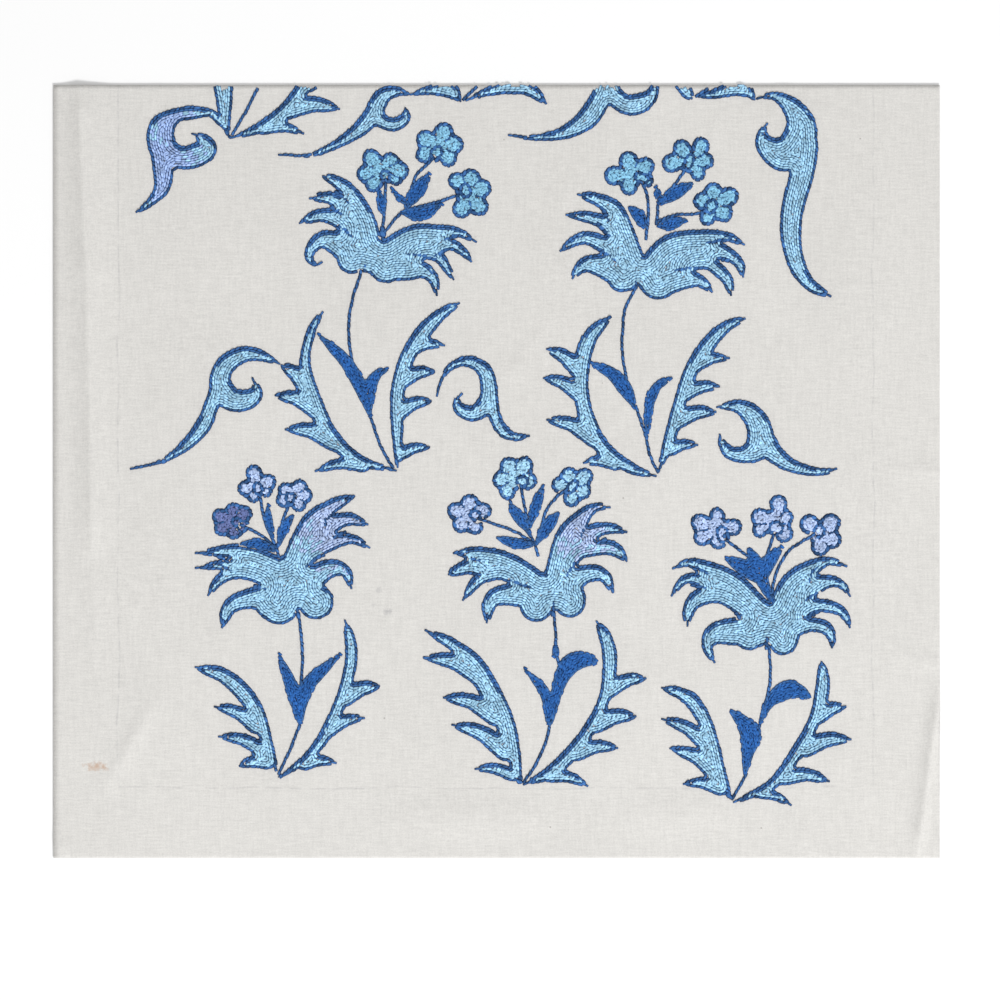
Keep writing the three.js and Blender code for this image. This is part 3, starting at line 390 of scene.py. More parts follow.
        notches=(
            ((62, 159.5, 1), (65.5, 154.5, 1.4), (67.5, 150, 0.6)),
            ((60.5, 149.5, 0.9), (64.5, 145, 1.7), (68, 141, 0.7)),
            ((58, 135, 0.8), (65, 131.5, 1.6), (72, 126.5, 0.7)),
            ((141, 139.7, 1), (133, 138.5, 1.4), (125.5, 137.3, 0.6)),
            ((140, 126.5, 0.9), (136.5, 127.5, 1.7), (132.5, 128.5, 0.7)),
            ((124, 122.5, 1), (115, 121.9, 1.7), (106.5, 121, 0.7)),
            ((83.7, 109.5, 1), (83.7, 112, 0.9), (83.9, 114.5, 0.5)),
        ),
    ),
    "scroll_middle": Motif(
        leaves=(
            ((-36, 45, 1.1), (-33.5, 54, 1.1), (-28.5, 62, 2.2), (-18, 66.3, 3.4), (-8, 61.5, 4.6), (-4.5, 51, 5.2),
             (-6, 41, 5.6), (-14, 34.8, 5), (-22, 37.5, 3.8), (-24, 43, 2), (-20.5, 47, 0.4)),
            ((-3, 44, 4), (-1, 33, 3.8), (4, 24.5, 4), (11, 20.7, 2.5), (20, 21.5, 0)),
        ),
    ),
    "scroll_right": Motif(
        leaves=(
            ((132, 38.5, 1), (138, 39.3, 2.4), (147, 38.5, 4.8), (155, 32, 7), (158.5, 22, 8), (156, 13.5, 7.5),
             (147, 10, 5), (139, 12, 4), (135, 18, 2.2), (134, 22.5, 0.6)),
            ((159, 20, 8), (166, 11.5, 6), (175, 4.5, 4.6), (186, 0.8, 3.4), (196, -0.3, 2.2), (204.5, 1.6, 0)),
        ),
    ),
    "border_left": Motif(
        leaves=(
            ((-170, 215.5, 2), (-182, 215.5, 4.2), (-193, 213.5, 4.6), (-201, 206, 8), (-200, 194, 8.5),
             (-190, 188.5, 7), (-180, 190, 7.5), (-173.5, 194, 6), (-177, 200.5, 3), (-183, 203, 0.4)),
            ((-200, 195, 8), (-200, 181, 6.5), (-201, 170, 4.8), (-208, 161.5, 2.4), (-216.5, 155.5, 0)),
            ((-160.6, 200.4, 0.8), (-163, 212, 3.6), (-163.5, 224, 5.2), (-165, 240, 7)),
            ((-163, 208, 3), (-172, 215.5, 2.2)),
            ((-159.2, 200.4, 0.8), (-146, 204.6, 3), (-131, 212.5, 5), (-120, 225, 4.4), (-110, 240, 5)),
        ),
        barbs=(
            (-140, 206, -115.5, 202.8, 4.2), (-124, 217.5, -94, 217.5, 6), (-114, 232, -92, 236, 5.1),
        ),
        stems=(
            ((-159, 202), (-150, 217), (-140.5, 236)),
        ),
        patches=((-201, 180, 22, Shade.PERIWINKLE), (-196, 210, 14, Shade.PERIWINKLE)),
    ),
    "border_middle": Motif(
        leaves=(
            ((-52, 226.3, 1), (-60, 228.3, 3.2), (-68, 225.5, 5), (-72.5, 217, 5.8), (-69, 210.5, 4.5),
             (-61.5, 208.3, 4.3), (-54.8, 212, 3.4), (-55, 218.5, 1)),
            ((-71.5, 220, 5.2), (-78.5, 209, 5.4), (-90, 200, 3.6), (-103, 193, 2.2), (-114, 189.8, 1.5),
             (-131, 190.2, 0.8)),
            ((-21.5, 222, 1), (-28, 229, 5), (-40, 229, 3.2), (-52, 226.2, 0.8)),
            ((-18.6, 222.6, 0.8), (-4, 228.5, 3.2), (8, 231, 4.6), (20, 229.5, 4), (30, 220.5, 0)),
        ),
        stems=(
            ((-20.5, 223), (-15, 228), (-7, 236)),
        ),
    ),
    "border_right": Motif(
        leaves=(
            ((156, 223.5, 1), (166, 225.5, 2.6), (176, 220, 5.5), (183, 208, 9), (180, 196, 11), (172, 190, 10),
             (161.5, 196, 6), (159.5, 204, 2.6), (163, 209, 0.4)),
            ((184, 196, 9.5), (183.5, 180, 7.6), (178.2, 160, 7), (176.6, 143, 6.4), (180, 125, 5.4),
             (188, 112.5, 3.8), (200.8, 104.8, 0)),
            ((117.5, 223.5, 1), (114, 228, 4), (108, 238, 5)),
            ((121, 225, 1), (130, 226.5, 3), (141, 229.5, 4.5), (150, 228.8, 4), (155.2, 223, 0.8)),
            ((140, 232, 4), (153, 233, 2)),
        ),
        stems=(
            ((119.3, 225), (125, 228.5), (134, 236)),
        ),
    ),
    "scroll_top": Motif(
        leaves=(
            ((70, 240, 8), (63.5, 226, 6.6), (55, 212.5, 6.6), (42, 204, 4.4), (29, 200.8, 2.6), (17, 200.6, 1.6),
             (7, 202, 0.8)),
            ((68, 228, 6), (76, 221, 6), (84, 220.3, 6.6), (92, 224.5, 4.5), (96, 233, 2)),
        ),
    ),
    "spray_lower_middle": Motif(
        florets=(
            Floret(petals=((11.3, -3.4, 7.4), (7.7, 2.9, 6.2), (16.8, 3.9, 5.8), (18.9, -5.6, 5.9),
                           (6.5, -12.2, 5.4), (2.9, -4.9, 5.8)),
                   eye=(15.5, -5.8, 3.8, 3, 0), filling=Shade.SKY),
            Floret(petals=((45.5, -9.4, 6.4), (43.3, -2.2, 5.4), (52.9, -2.8, 5.6), (52.1, -11.8, 5.2),
                           (45.1, -16.6, 5.4), (37.9, -8, 5.3)),
                   eye=(44.9, -9.4, 5.3, 2.4, 45), filling=Shade.SKY),
            Floret(petals=((-16.4, -25.7, 7.4), (-16.1, -18.8, 5.7), (-7.7, -23.5, 5.4), (-12.8, -33.3, 5.2),
                           (-21.2, -31.5, 5.8), (-24.5, -23.6, 5.6)),
                   eye=(-12.8, -26.3, 3.6, 3, 130), filling=Shade.LILAC),
        ),
        blades=(
            ((20, -37, 1), (13, -27, 3.6), (8, -19.5, 0)),
            ((19, -35, 1), (23.5, -21, 3.2), (28, -8, 0)),
            ((24, -43, 1.2), (30.5, -33, 4), (37.5, -24.5, 0)),
            ((23, -44, 1.2), (11, -43, 3.4), (0, -39.5, 0)),
        ),
        stems=(
            ((8, -17), (14, -30), (20, -38), (23, -44), (25, -51)),
            ((14.3, -7.5), (17, -22), (19, -34)),
            ((43.2, -10.5), (38, -13.5), (30, -23), (27, -34), (24, -44)),
            ((-11.5, -28), (3, -33), (13, -37), (22, -43)),
        ),
    ),
    "spray_upper_left_floret": Motif(
        florets=(
            Floret(petals=((80.9, 178.4, 7.8), (79.1, 186.5, 6.2), (89.7, 183.4, 5.7), (90.3, 174.6, 4.6),
                           (79.6, 170.9, 5.6), (70.4, 177.6, 6.3)),
                   eye=(87.2, 176.2, 4.6, 3, -25), filling=Shade.AZURE),
        ),
        blades=(
            ((89, 146, 1), (85.7, 153, 4), (79.9, 158.7, 0)),
        ),
        stems=(
            ((86.6, 174.6), (90.5, 165), (91, 152), (89.5, 139)),
        ),
    ),
    "spray_upper_right_florets": Motif(
        florets=(
            Floret(petals=((116.5, 186.2, 7.4), (122.8, 195.8, 5.5), (125.9, 186.4, 5.2), (121.1, 178.6, 4.8),
                           (105.1, 185, 6.2), (111.3, 194, 5.9)),
                   eye=(115.3, 185.3, 6, 2.5, 68), filling=Shade.AZURE),
            Floret(petals=((130.8, 160.2, 7.4), (130, 168.4, 5.7), (139.8, 165.1, 6.1), (136.4, 154.8, 5.8),
                           (126.5, 152.2, 5.2), (123.4, 162.3, 5.8)),
                   eye=(128.6, 159, 4.6, 3.4, 60), filling=Shade.AZURE),
        ),
        blades=(
            ((99, 161, 1), (107, 167, 4.2), (118, 173, 0)),
            ((96.5, 147.5, 1), (104, 148.5, 3.8), (114, 151, 0)),
            ((98, 160, 1), (97, 165.5, 2.3), (95.8, 170.6, 0)),
        ),
        stems=(
            ((114.5, 182.5), (106, 171), (103, 166)),
            ((126.8, 157.8), (121, 154.8), (108, 154), (96, 150)),
            ((97, 160), (96, 148)),
        ),
    ),
}


def smooth_line(knots: tuple[Knot, ...], links: int = 8) -> np.ndarray:
    """Smooth line through the knots.

    Args:
        knots: Rows of x, y, half width.
        links: Points made for each knot.

    Returns:
        Rows of x, y, half width along the line.
    """
    rows = np.array(knots, float)
    rows = np.vstack([2 * rows[0] - rows[1], rows, 2 * rows[-1] - rows[-2]])
    share = (np.arange(links) / links)[:, None]
    parts = []
    for before, here, after, beyond in zip(rows[:-3], rows[1:-2], rows[2:-1], rows[3:]):
        parts.append(0.5 * (2 * here + (after - before) * share
                            + (2 * before - 5 * here + 4 * after - beyond) * share ** 2
                            + (3 * here - before - 3 * after + beyond) * share ** 3))
    if rows[-2, 2] == 0:
        parts[-1][:, 2] = rows[-3, 2] * (1 - share[:, 0] ** 2) ** TIP_FULLNESS
    parts.append(rows[-2:-1])
    line = np.vstack(parts)
    line[:, 2] = np.maximum(line[:, 2], 0.0)
    return line


def soft_bump(share: np.ndarray) -> np.ndarray:
    """Rounded hill, 1 at share 0 and 0 from share 1 on."""
    return np.where(share < 1, 0.5 + 0.5 * np.cos(np.pi * np.minimum(share, 1)), 0.0)


def sharp_ridge(share: np.ndarray) -> np.ndarray:
    """Ridge with a crisp crest, 1 at share 0 and 0 from share 1 on."""
    return (1 - np.minimum(share, 1)) ** CREST_SHARPNESS


@dataclass(frozen=True)
class Cloth:
    """The lie of the cotton on the table.

    Attributes:
        length: Size in X, in millimetres.
        width: Size in Y.
        thickness: Thickness of the cotton.
        step: Spacing of the mesh lines.
        fine_step: Spacing over the creases.
        swells: Soft swells, each centre x, y, reach in x, y, height.
        creases: Creases, each x, y of one end, x, y of the other, reach on its right, reach on its left, height.
        crease_fade: Length over which a crease dies away at each end.
        fine_x: Ranges in X where the mesh lines are closer together.
        fine_y: The same in Y.
        puckers: Number of small waves that the stitching pulls into the cotton.
        pucker_turn: Spread of their directions in radians.
        pucker_lengths: Least and greatest half length of a wave.
        pucker_widths: Least and greatest half width.
        pucker_heights: Least and greatest height.
        seed: Seed of those waves.
    """

    length: float = 532.0
    width: float = 464.0
    thickness: float = 1.0
    step: float = 2.7
    fine_step: float = 1.3
    swells: tuple[tuple[float, ...], ...] = (
        (-178, 112, 46, 70, 0.7),
        (40, 138, 26, 80, 0.6),
        (222, 120, 30, 90, 0.8),
        (-20, -208, 70, 18, 0.9),
        (104, -206, 52, 20, 0.8),
        (226, -50, 30, 50, 0.7),
        (-204, -60, 34, 52, 0.6),
    )
    creases: tuple[tuple[float, ...], ...] = (
        (-251.3, 246, -245.2, 90, 14, 24, 3.4),
        (-246.4, 150, -242.6, -60, 13, 22, 2.8),
        (-246, -40, -238, -128, 10, 16, 1),
        (-240, -200, -200, -128, 12, 12, 1.3),
        (267.5, -118, 250.5, -244, 9, 7, 2.6),
        (-270, -214, -250, -236, 7, 7, 2),
        (172, -204, 196, -236, 9, 9, 1.7),
        (228, 2, 296, -1, 8, 8, 0.7),
        (232, -108, 296, -122, 8, 10, 0.8),
    )
    crease_fade: float = 30.0
    fine_x: tuple[Span, ...] = ((-262.0, -234.0), (253.0, 266.0))
    fine_y: tuple[Span, ...] = ((-232.0, -222.0),)
    puckers: int = 46
    pucker_turn: float = 0.5
    pucker_lengths: Span = (18, 60)
    pucker_widths: Span = (5, 12)
    pucker_heights: Span = (0.05, 0.22)
    seed: int = 4

    def lift(self, x: np.ndarray, y: np.ndarray) -> np.ndarray:
        """Height of the underside over the table.

        Args:
            x: Places along the cloth, in millimetres.
            y: Places across the cloth.

        Returns:
            Heights in millimetres.
        """
        total = np.zeros_like(x, dtype=float)
        for cx, cy, reach_x, reach_y, height in self.swells:
            total += height * soft_bump(np.hypot((x - cx) / reach_x, (y - cy) / reach_y))
        for ax, ay, bx, by, reach_right, reach_left, height in self.creases:
            long = math.hypot(bx - ax, by - ay)
            along = ((x - ax) * (bx - ax) + (y - ay) * (by - ay)) / long
            aside = ((x - ax) * (by - ay) - (y - ay) * (bx - ax)) / long
            share = np.where(aside > 0, aside / reach_right, -aside / reach_left)
            ends = np.clip(np.minimum(along, long - along) / self.crease_fade, 0, 1)
            total = np.maximum(total, height * sharp_ridge(share) * ends)
        return total

    def ripple(self, x: np.ndarray, y: np.ndarray) -> np.ndarray:
        """Small seeded waves and puckers that the tight stitches pull into the cotton.

        Args:
            x: Places along the cloth, in millimetres.
            y: Places across the cloth.

        Returns:
            Heights in millimetres, never negative.
        """
        rng = np.random.default_rng(self.seed)
        total = np.zeros_like(x, dtype=float)
        for _ in range(self.puckers):
            cx = rng.uniform(-self.length / 2, self.length / 2)
            cy = rng.uniform(-self.width / 2, self.width / 2)
            turn = rng.normal(math.pi / 2, self.pucker_turn)
            long = rng.uniform(*self.pucker_lengths)
            slim = rng.uniform(*self.pucker_widths)
            height = rng.uniform(*self.pucker_heights)
            along = (x - cx) * math.cos(turn) + (y - cy) * math.sin(turn)
            aside = (y - cy) * math.cos(turn) - (x - cx) * math.sin(turn)
            total += height * soft_bump(np.hypot(along / long, aside / slim))
        return total

    def top(self, x: np.ndarray, y: np.ndarray) -> np.ndarray:
        """Height of the face of the cloth, in millimetres."""
        return self.lift(x, y) + self.ripple(x, y) + self.thickness

    def lines(self, size: float, fine: tuple[Span, ...]) -> np.ndarray:
        """Places of the mesh lines along one side.

        Args:
            size: Length of the side.
            fine: Ranges where the lines are closer together.

        Returns:
            Places from one end to the other.
        """
        stops = sorted({-size / 2, size / 2, *(end for pair in fine for end in pair)})
        places = [stops[0]]
        for low, high in zip(stops[:-1], stops[1:]):
            close = any(start <= low and high <= end for start, end in fine)
            count = max(round((high - low) / (self.fine_step if close else self.step)), 1)
            places.extend(np.linspace(low, high, count + 1)[1:])
        return np.array(places)

    def build(self) -> bpy.types.Object:
        """Makes the sheet with its cut edges.

        Returns:
            The cloth as an object at the origin.
        """
        xs = self.lines(self.length, self.fine_x)
        ys = self.lines(self.width, self.fine_y)
        x, y = np.meshgrid(xs, ys)
        z = self.lift(x, y) + self.ripple(x, y)
        corners = np.stack([x, y, z + self.thickness], axis=-1).reshape(-1, 3) * MM
        index = np.arange(x.size).reshape(x.shape)
        quads = np.stack([index[:-1, :-1], index[:-1, 1:], index[1:, 1:], index[1:, :-1]], axis=-1).reshape(-1, 4)
        cloth = mesh_object("cotton_ground", corners, quads)
        solid = cloth.modifiers.new("thickness", "SOLIDIFY")
        solid.thickness = self.thickness * MM
        solid.offset = -1
        apply_modifiers(cloth)
        return cloth


def mesh_object(name: str, corners: np.ndarray, quads: np.ndarray) -> bpy.types.Object:
    """Object from arrays of corners and four-sided faces.

    Args:
        name: Name of the piece.
        corners: Rows of x, y, z in metres.
        quads: Rows of four corner numbers.

    Returns:
        The object, linked to the scene and smooth.
    """
    mesh = bpy.data.meshes.new(name)
    mesh.vertices.add(len(corners))
    mesh.vertices.foreach_set("co", np.ascontiguousarray(corners, np.float32).ravel())
    mesh.loops.add(quads.size)
    mesh.loops.foreach_set("vertex_index", np.ascontiguousarray(quads, np.int32).ravel())
    mesh.polygons.add(len(quads))
    mesh.polygons.foreach_set("loop_start", np.arange(0, quads.size, 4, dtype=np.int32))
    mesh.polygons.foreach_set("use_smooth", np.ones(len(quads), bool))
    mesh.update(calc_edges=True)
    mesh.validate()
    piece = bpy.data.objects.new(name, mesh)
    bpy.context.scene.collection.objects.link(piece)
    return piece


def apply_modifiers(piece: bpy.types.Object) -> None:
    """Applies every modifier of the piece.

    Args:
        piece: The object to finish.
    """
    bpy.ops.object.select_all(action="DESELECT")
    piece.select_set(True)
    bpy.context.view_layer.objects.active = piece
    for modifier in list(piece.modifiers):
        bpy.ops.object.modifier_apply(modifier=modifier.name)
    piece.select_set(False)


@dataclass
class Grid:
    """Square grid over a motif, with the distances measured on it.

    Attributes:
        left: Lowest x.
        low: Lowest y.
        cell: Spacing.
        x: Places in x.
        y: Places in y.
    """

    left: float
    low: float
    cell: float
    x: np.ndarray
    y: np.ndarray

    # Cells round the shape, and how far before its end the grid is still read between two points.
    MARGIN_CELLS = 3
    LAST_CELL = 1.001

    @classmethod
    def around(cls, reach: np.ndarray, cell: float) -> "Grid":
        """Grid that covers rows of x, y, radius.

        Args:
            reach: Rows of x, y, radius.
            cell: Spacing.

        Returns:
            The grid.
        """
        margin = cls.MARGIN_CELLS * cell
        left = (reach[:, 0] - reach[:, 2]).min() - margin
        low = (reach[:, 1] - reach[:, 2]).min() - margin
        right = (reach[:, 0] + reach[:, 2]).max() + margin
        high = (reach[:, 1] + reach[:, 2]).max() + margin
        xs = np.arange(left, right, cell)
        ys = np.arange(low, high, cell)
        x, y = np.meshgrid(xs, ys)
        return cls(left, low, cell, x, y)

    def window(self, ax: float, ay: float, bx: float, by: float, pad: float) -> tuple[slice, slice]:
        """Part of the grid round a box.

        Args:
            ax: x of one corner.
            ay: y of one corner.
            bx: x of the other corner.
            by: y of the other corner.
            pad: Margin round the box.

        Returns:
            Slices of rows and columns.
        """
        rows, columns = self.x.shape
        i0 = max(int((min(ay, by) - pad - self.low) / self.cell), 0)
        i1 = min(int((max(ay, by) + pad - self.low) / self.cell) + 2, rows)
        j0 = max(int((min(ax, bx) - pad - self.left) / self.cell), 0)
        j1 = min(int((max(ax, bx) + pad - self.left) / self.cell) + 2, columns)
        return slice(i0, max(i1, i0)), slice(j0, max(j1, j0))

    def sample(self, values: np.ndarray, x: np.ndarray, y: np.ndarray) -> np.ndarray:
        """Values between the grid's points.

        Args:
            values: A value for each point of the grid.
            x: Places in x.
            y: Places in y.

        Returns:
            The values at the places.
        """
        column = np.clip((x - self.left) / self.cell, 0, self.x.shape[1] - self.LAST_CELL)
        row = np.clip((y - self.low) / self.cell, 0, self.x.shape[0] - self.LAST_CELL)
        j = column.astype(int)
        i = row.astype(int)
        u = column - j
        v = row - i
        return ((values[i, j] * (1 - u) + values[i, j + 1] * u) * (1 - v)
                + (values[i + 1, j] * (1 - u) + values[i + 1, j + 1] * u) * v)


def nearest_share(x: np.ndarray, y: np.ndarray, dx: float, dy: float) -> np.ndarray:
    """Share of the way from 0, 0 to dx, dy at which the line is nearest to each place."""
    return np.clip((x * dx + y * dy) / max(dx * dx + dy * dy, TINY), 0, 1)


def stroke_field(grid: Grid, line: np.ndarray, values: np.ndarray) -> None:
    """Lowers the values to the distance from a tapered stroke, negative inside.

    Args:
        grid: The grid.
        line: Rows of x, y, half width.
        values: A value for each point of the grid, changed in place.
    """
    for (ax, ay, ar), (bx, by, br) in zip(line[:-1], line[1:]):
        part = grid.window(ax, ay, bx, by, max(ar, br) + FIELD_REACH)
        x = grid.x[part] - ax
        y = grid.y[part] - ay
        dx = bx - ax
        dy = by - ay
        share = nearest_share(x, y, dx, dy)
        here = np.hypot(x - share * dx, y - share * dy) - (ar + (br - ar) * share)
        values[part] = np.minimum(values[part], here)


def disc_field(grid: Grid, cx: float, cy: float, a: float, b: float, values: np.ndarray) -> None:
    """Lowers the values to the distance from an upright oval.

    Args:
        grid: The grid.
        cx: x of the middle.
        cy: y of the middle.
        a: Half size in x.
        b: Half size in y.
        values: A value for each point of the grid, changed in place.
    """
    here = (np.hypot((grid.x - cx) / a, (grid.y - cy) / b) - 1) * min(a, b)
    np.minimum(values, here, out=values)


def contours(grid: Grid, values: np.ndarray, level: float) -> list[np.ndarray]:
    """Closed lines where the values cross a level.

    Args:
        grid: The grid.
        values: A value for each point of the grid, high at its rim.
        level: The level.

    Returns:
        Rows of x, y for each line, with the lower values on the left.
    """
    rows, columns = values.shape
    inside = values < level
    numbers = np.arange(rows * columns).reshape(rows, columns)
    # Edges of the cells: the flat ones are numbered from 0, the upright ones after them.
    low_edge = numbers[:-1, :-1]
    high_edge = numbers[1:, :-1]
    left_edge = numbers[:-1, :-1] + rows * columns
    right_edge = numbers[:-1, 1:] + rows * columns
    edges = (low_edge, right_edge, high_edge, left_edge)
    corners = (inside[:-1, :-1], inside[:-1, 1:], inside[1:, 1:], inside[1:, :-1])
    follow: dict[int, int] = {}
    for k in range(4):
        # A line leaves a cell where an inside corner is followed by an outside one.
        leaving = corners[k] & ~corners[(k + 1) % 4]
        taken = np.zeros_like(leaving)
        for turn in range(1, 4):
            back = (k + turn) % 4
            entering = ~corners[back] & corners[(back + 1) % 4]
            now = leaving & entering & ~taken
            taken |= now
            follow.update(zip(edges[k][now].tolist(), edges[back][now].tolist()))

    def place(keys: np.ndarray) -> np.ndarray:
        """Points where the line crosses the numbered edges.

        Args:
            keys: Numbers of the edges.

        Returns:
            Rows of x, y.
        """
        upright = keys >= rows * columns
        flat = keys - upright * rows * columns
        i = flat // columns
        j = flat % columns
        i2 = np.minimum(i + upright, rows - 1)
        j2 = np.minimum(j + ~upright, columns - 1)
        first = values[i, j]
        second = values[i2, j2]
        gap = np.where(np.abs(second - first) < TINY, TINY, second - first)
        share = np.clip((level - first) / gap, *CROSSING_RANGE)
        return np.stack([grid.left + (j + share * (j2 - j)) * grid.cell,
                         grid.low + (i + share * (i2 - i)) * grid.cell], axis=-1)

    loops = []
    while follow:
        key, after = follow.popitem()
        keys = [key]
        while after in follow:
            keys.append(after)
            after = follow.pop(after)
        loops.append(place(np.array(keys)))
    return loops


def depth_inside(grid: Grid, field: np.ndarray, deepest: float = 15.0) -> np.ndarray:
    """True distance to the edge of a shape.

    Args:
        grid: The grid.
        field: Values that are negative inside the shape.
        deepest: Largest distance that is measured.

    Returns:
        Distances, positive inside and negative outside.
    """
    nearest = np.full(field.shape, deepest)
    for loop in contours(grid, field, 0.0):
        points = np.vstack([loop[::2], loop[:1]])
        for (ax, ay), (bx, by) in zip(points[:-1], points[1:]):
            part = grid.window(ax, ay, bx, by, deepest)
            x = grid.x[part] - ax
            y = grid.y[part] - ay
            dx = bx - ax
            dy = by - ay
            share = nearest_share(x, y, dx, dy)
            nearest[part] = np.minimum(nearest[part], np.hypot(x - share * dx, y - share * dy))
    return np.where(field < 0, nearest, -nearest)


def run_of(line: np.ndarray) -> float:
    """Length of a line of x, y."""
    return np.hypot(*np.diff(line, axis=0).T).sum()


def thread_and_painted_shade_colours(shade: Shade) -> np.ndarray:
    """Colour of the thread on its crest and the painted shade colour of its foot, as linear red, green and blue."""
    return linear(np.array(shade.value, float) / 255).ravel()


def linear(colour: np.ndarray) -> np.ndarray:
    """Linear values of sRGB ones from 0 to 1."""
    return np.where(colour <= 0.04045, colour / 12.92, ((colour + 0.055) / 1.055) ** 2.4)


@dataclass
class Stitches:
    """Chain stitches, one row of numbers each.

    Attributes:
        tails: x, y where each loop comes up.
        heads: x, y where each loop is held down.
        widths: Width of each loop.
        colours: Linear red, green, blue of each loop's crest, and the same of the painted shade on its foot.
    """

    tails: np.ndarray
    heads: np.ndarray
    widths: np.ndarray
    colours: np.ndarray

    @classmethod
    def joined(cls, parts: list["Stitches"]) -> "Stitches":
        """All the stitches of several sets.

        Args:
            parts: The sets, each with at least one stitch.

        Returns:
            The stitches in the order of the sets.
        """
        return cls(np.vstack([part.tails for part in parts]), np.vstack([part.heads for part in parts]),
                   np.concatenate([part.widths for part in parts]), np.vstack([part.colours for part in parts]))

    def kept(self, keep: np.ndarray) -> "Stitches":
        """The stitches where keep is true."""
        return Stitches(self.tails[keep], self.heads[keep], self.widths[keep], self.colours[keep])

    def middles(self) -> np.ndarray:
        """Middle of each stitch."""
        return 0.5 * (self.tails + self.heads)


@dataclass
class Embroidery:
    """One plant or scroll worked in chain stitch.

    Attributes:
        name: Name in the chart.
        motif: Its shapes.
        cloth: The cloth it is worked on.
        rng: Seeded draws for the hand's unevenness.
        cell: Spacing of the grid that the rows are laid out on.
        stitch_length: Length of a stitch along its row.
        outline_width: Width of a row that goes round a shape.
        fill_width: Width of a row that fills a shape.
        line_width: Width of a dark row in a wedge or an eye.
        thin_width: Width of a dark row between two petals.
        row_step: Spacing of the fill rows.
        loop_height: Height of a loop over the cloth.
        tip_half_width: Smallest half width of a leaf, so that one row fits on its tip.
        floret_outline: Width of the row that goes round a floret.
        slant: How far a loop leans over, as a share of its half width.
        rope_slant: The same for the rows that go round a shape.
        pinch: How much such a row is drawn in where two loops meet.
        rope_rise: How much higher such a row lies.
        rope_crest: Width of its crest against that of a fill row.
        unevenness: Spread of the light from loop to loop.
        rope_unevenness: The same for the rows that go round a shape.
        patch_blur: How far the rim of a patch of another thread strays.
        barb_bow: Bow of a side leaf as a share of its length.
        barb_waist: Half width at the middle of a side leaf as a share of that at its root.
        stem_half_width: Half width of a stalk.
        length_spread: How far a stitch's end strays along its row, as a share of its length.
        shortest_run: Length of the shortest row that is worked.
        edge_inset: How far an outline lies inside the edge, as a share of its width.
        blade_inset: The same for the rows of a dark leaf.
        petal_inset: The same for the first row inside a petal, as a share of its own width.
        petal_rim: How far a petal's fill keeps from the rim, as a share of the rim's row.
        petal_spacing: How far it keeps from the next petal.
        shaded_depth: Depth to which the fill is dark along upper edges, where the photo shows two dark rows.
        upper_edge: How far up such an edge faces, from 0 for sideways to 1.
        wedge_margin: How much wider than its wedge a row is.
        overlap: How far a leaf reaches under the dark parts over it.
        cut_margin: Distance that the last stitch keeps from the cut edge of the cloth.
    """

    name: str
    motif: Motif
    cloth: Cloth
    rng: np.random.Generator
    cell: float = 0.5
    stitch_length: float = 2.9
    outline_width: float = 2.1
    fill_width: float = 1.65
    line_width: float = 2.0
    thin_width: float = 1.7
    floret_outline: float = 3.0
    row_step: float = 1.42
    loop_height: float = 0.85
    tip_half_width: float = 1.1
    slant: float = 0.14
    rope_slant: float = 0.42
    pinch: float = 0.14
    rope_rise: float = 0.16
    rope_crest: float = 0.72
    unevenness: float = 0.16
    rope_unevenness: float = 0.26
    patch_blur: float = 9.0
    barb_bow: float = 0.1
    barb_waist: float = 0.8
    stem_half_width: float = 0.9
    length_spread: float = 0.28
    shortest_run: float = 2.5
    edge_inset: float = 0.48
    blade_inset: float = 0.4
    petal_inset: float = 0.45
    petal_rim: float = 0.85
    petal_spacing: float = 0.5
    shaded_depth: float = 3.0
    upper_edge: float = 0.45
    wedge_margin: float = 0.4
    overlap: float = 0.1
    cut_margin: float = 0.2

    # Share of the outline's width under which one row fills an end, and of the width of the last two stitches there.
    SLIM_END = 0.75
    TIP_WIDTHS = (0.95, 0.7)

    # Half width that each kind of row keeps free of other stitches, in millimetres.
    TIP_ROOM = 0.6
    BLADE_ROOM = 0.6
    PETAL_ROOM = 0.62
    WEDGE_ROOM = 0.7
    FILL_ROOM = 0.72
    GAP_ROOM = 0.75
    PETAL_LINE_ROOM = 0.85
    EYE_ROOM = 1.15

    # Depth from the edge that the outlines of leaves and of florets cover.
    LEAF_RIM = 1.8
    FLORET_RIM = 2.2

    # Depth at which single stitches start, the slope under which they have no row to follow, their direction there
    # and the range of their lengths as a share of a full stitch.
    GAP_DEPTH = 0.35
    FLAT_SLOPE = 0.3
    FREE_DIRECTION = (0.6, 0.8)
    GAP_LENGTHS = (0.8, 1.0)

    # Start of a petal line from the rim as a share of the outline's width, how far into the middle it runs as a share
    # of that radius, and the least share of its way that it takes.
    PETAL_LINE_START = 0.5
    PETAL_LINE_REACH = 0.6
    SHORTEST_PETAL_LINE = 0.4
    EYE_POINTS = 24

    # Ranges of each loop's width, lean and height, how far it strays sideways, and the limit of its light in spreads.
    WIDTH_RANGE = (0.92, 1.08)
    LEAN_RANGE = (0.4, 1.5)
    HEIGHT_RANGE = (0.9, 1.06)
    SIDEWAYS = 0.1
    LIGHT_LIMIT = 2

    # Three rings of a loop from its tail to its head: the foot, the crest and the hollow. Each corner is its share
    # of the length, share of the half width, share of the height and share of the painted light, which mixes the crest
    # colour with the painted shade colour: the foot is painted in full shade, the middle of the crest gets a painted
    # highlight and the hollow is painted a little darker. The other side mirrors it.
    # The ends of the foot are the corners that are drawn in where two loops meet.
    RING_CORNERS = 8
    FOOT_ENDS = (0, 3, 4, 7)
    RINGS = (
        ((-0.05, 0.92, 0.03, 0.0), (0.33, 1.0, 0.03, 0.0), (0.67, 1.0, 0.03, 0.0), (1.05, 0.92, 0.03, 0.0)),
        ((0.02, 0.26, 0.62, 0.6), (0.3, 0.46, 1.0, 1.05), (0.7, 0.48, 0.97, 1.05), (1.02, 0.28, 0.62, 0.6)),
        ((0.22, 0.06, 0.7, 0.9), (0.4, 0.1, 0.85, 0.98), (0.66, 0.12, 0.85, 0.98), (0.86, 0.07, 0.7, 0.9)),
    )

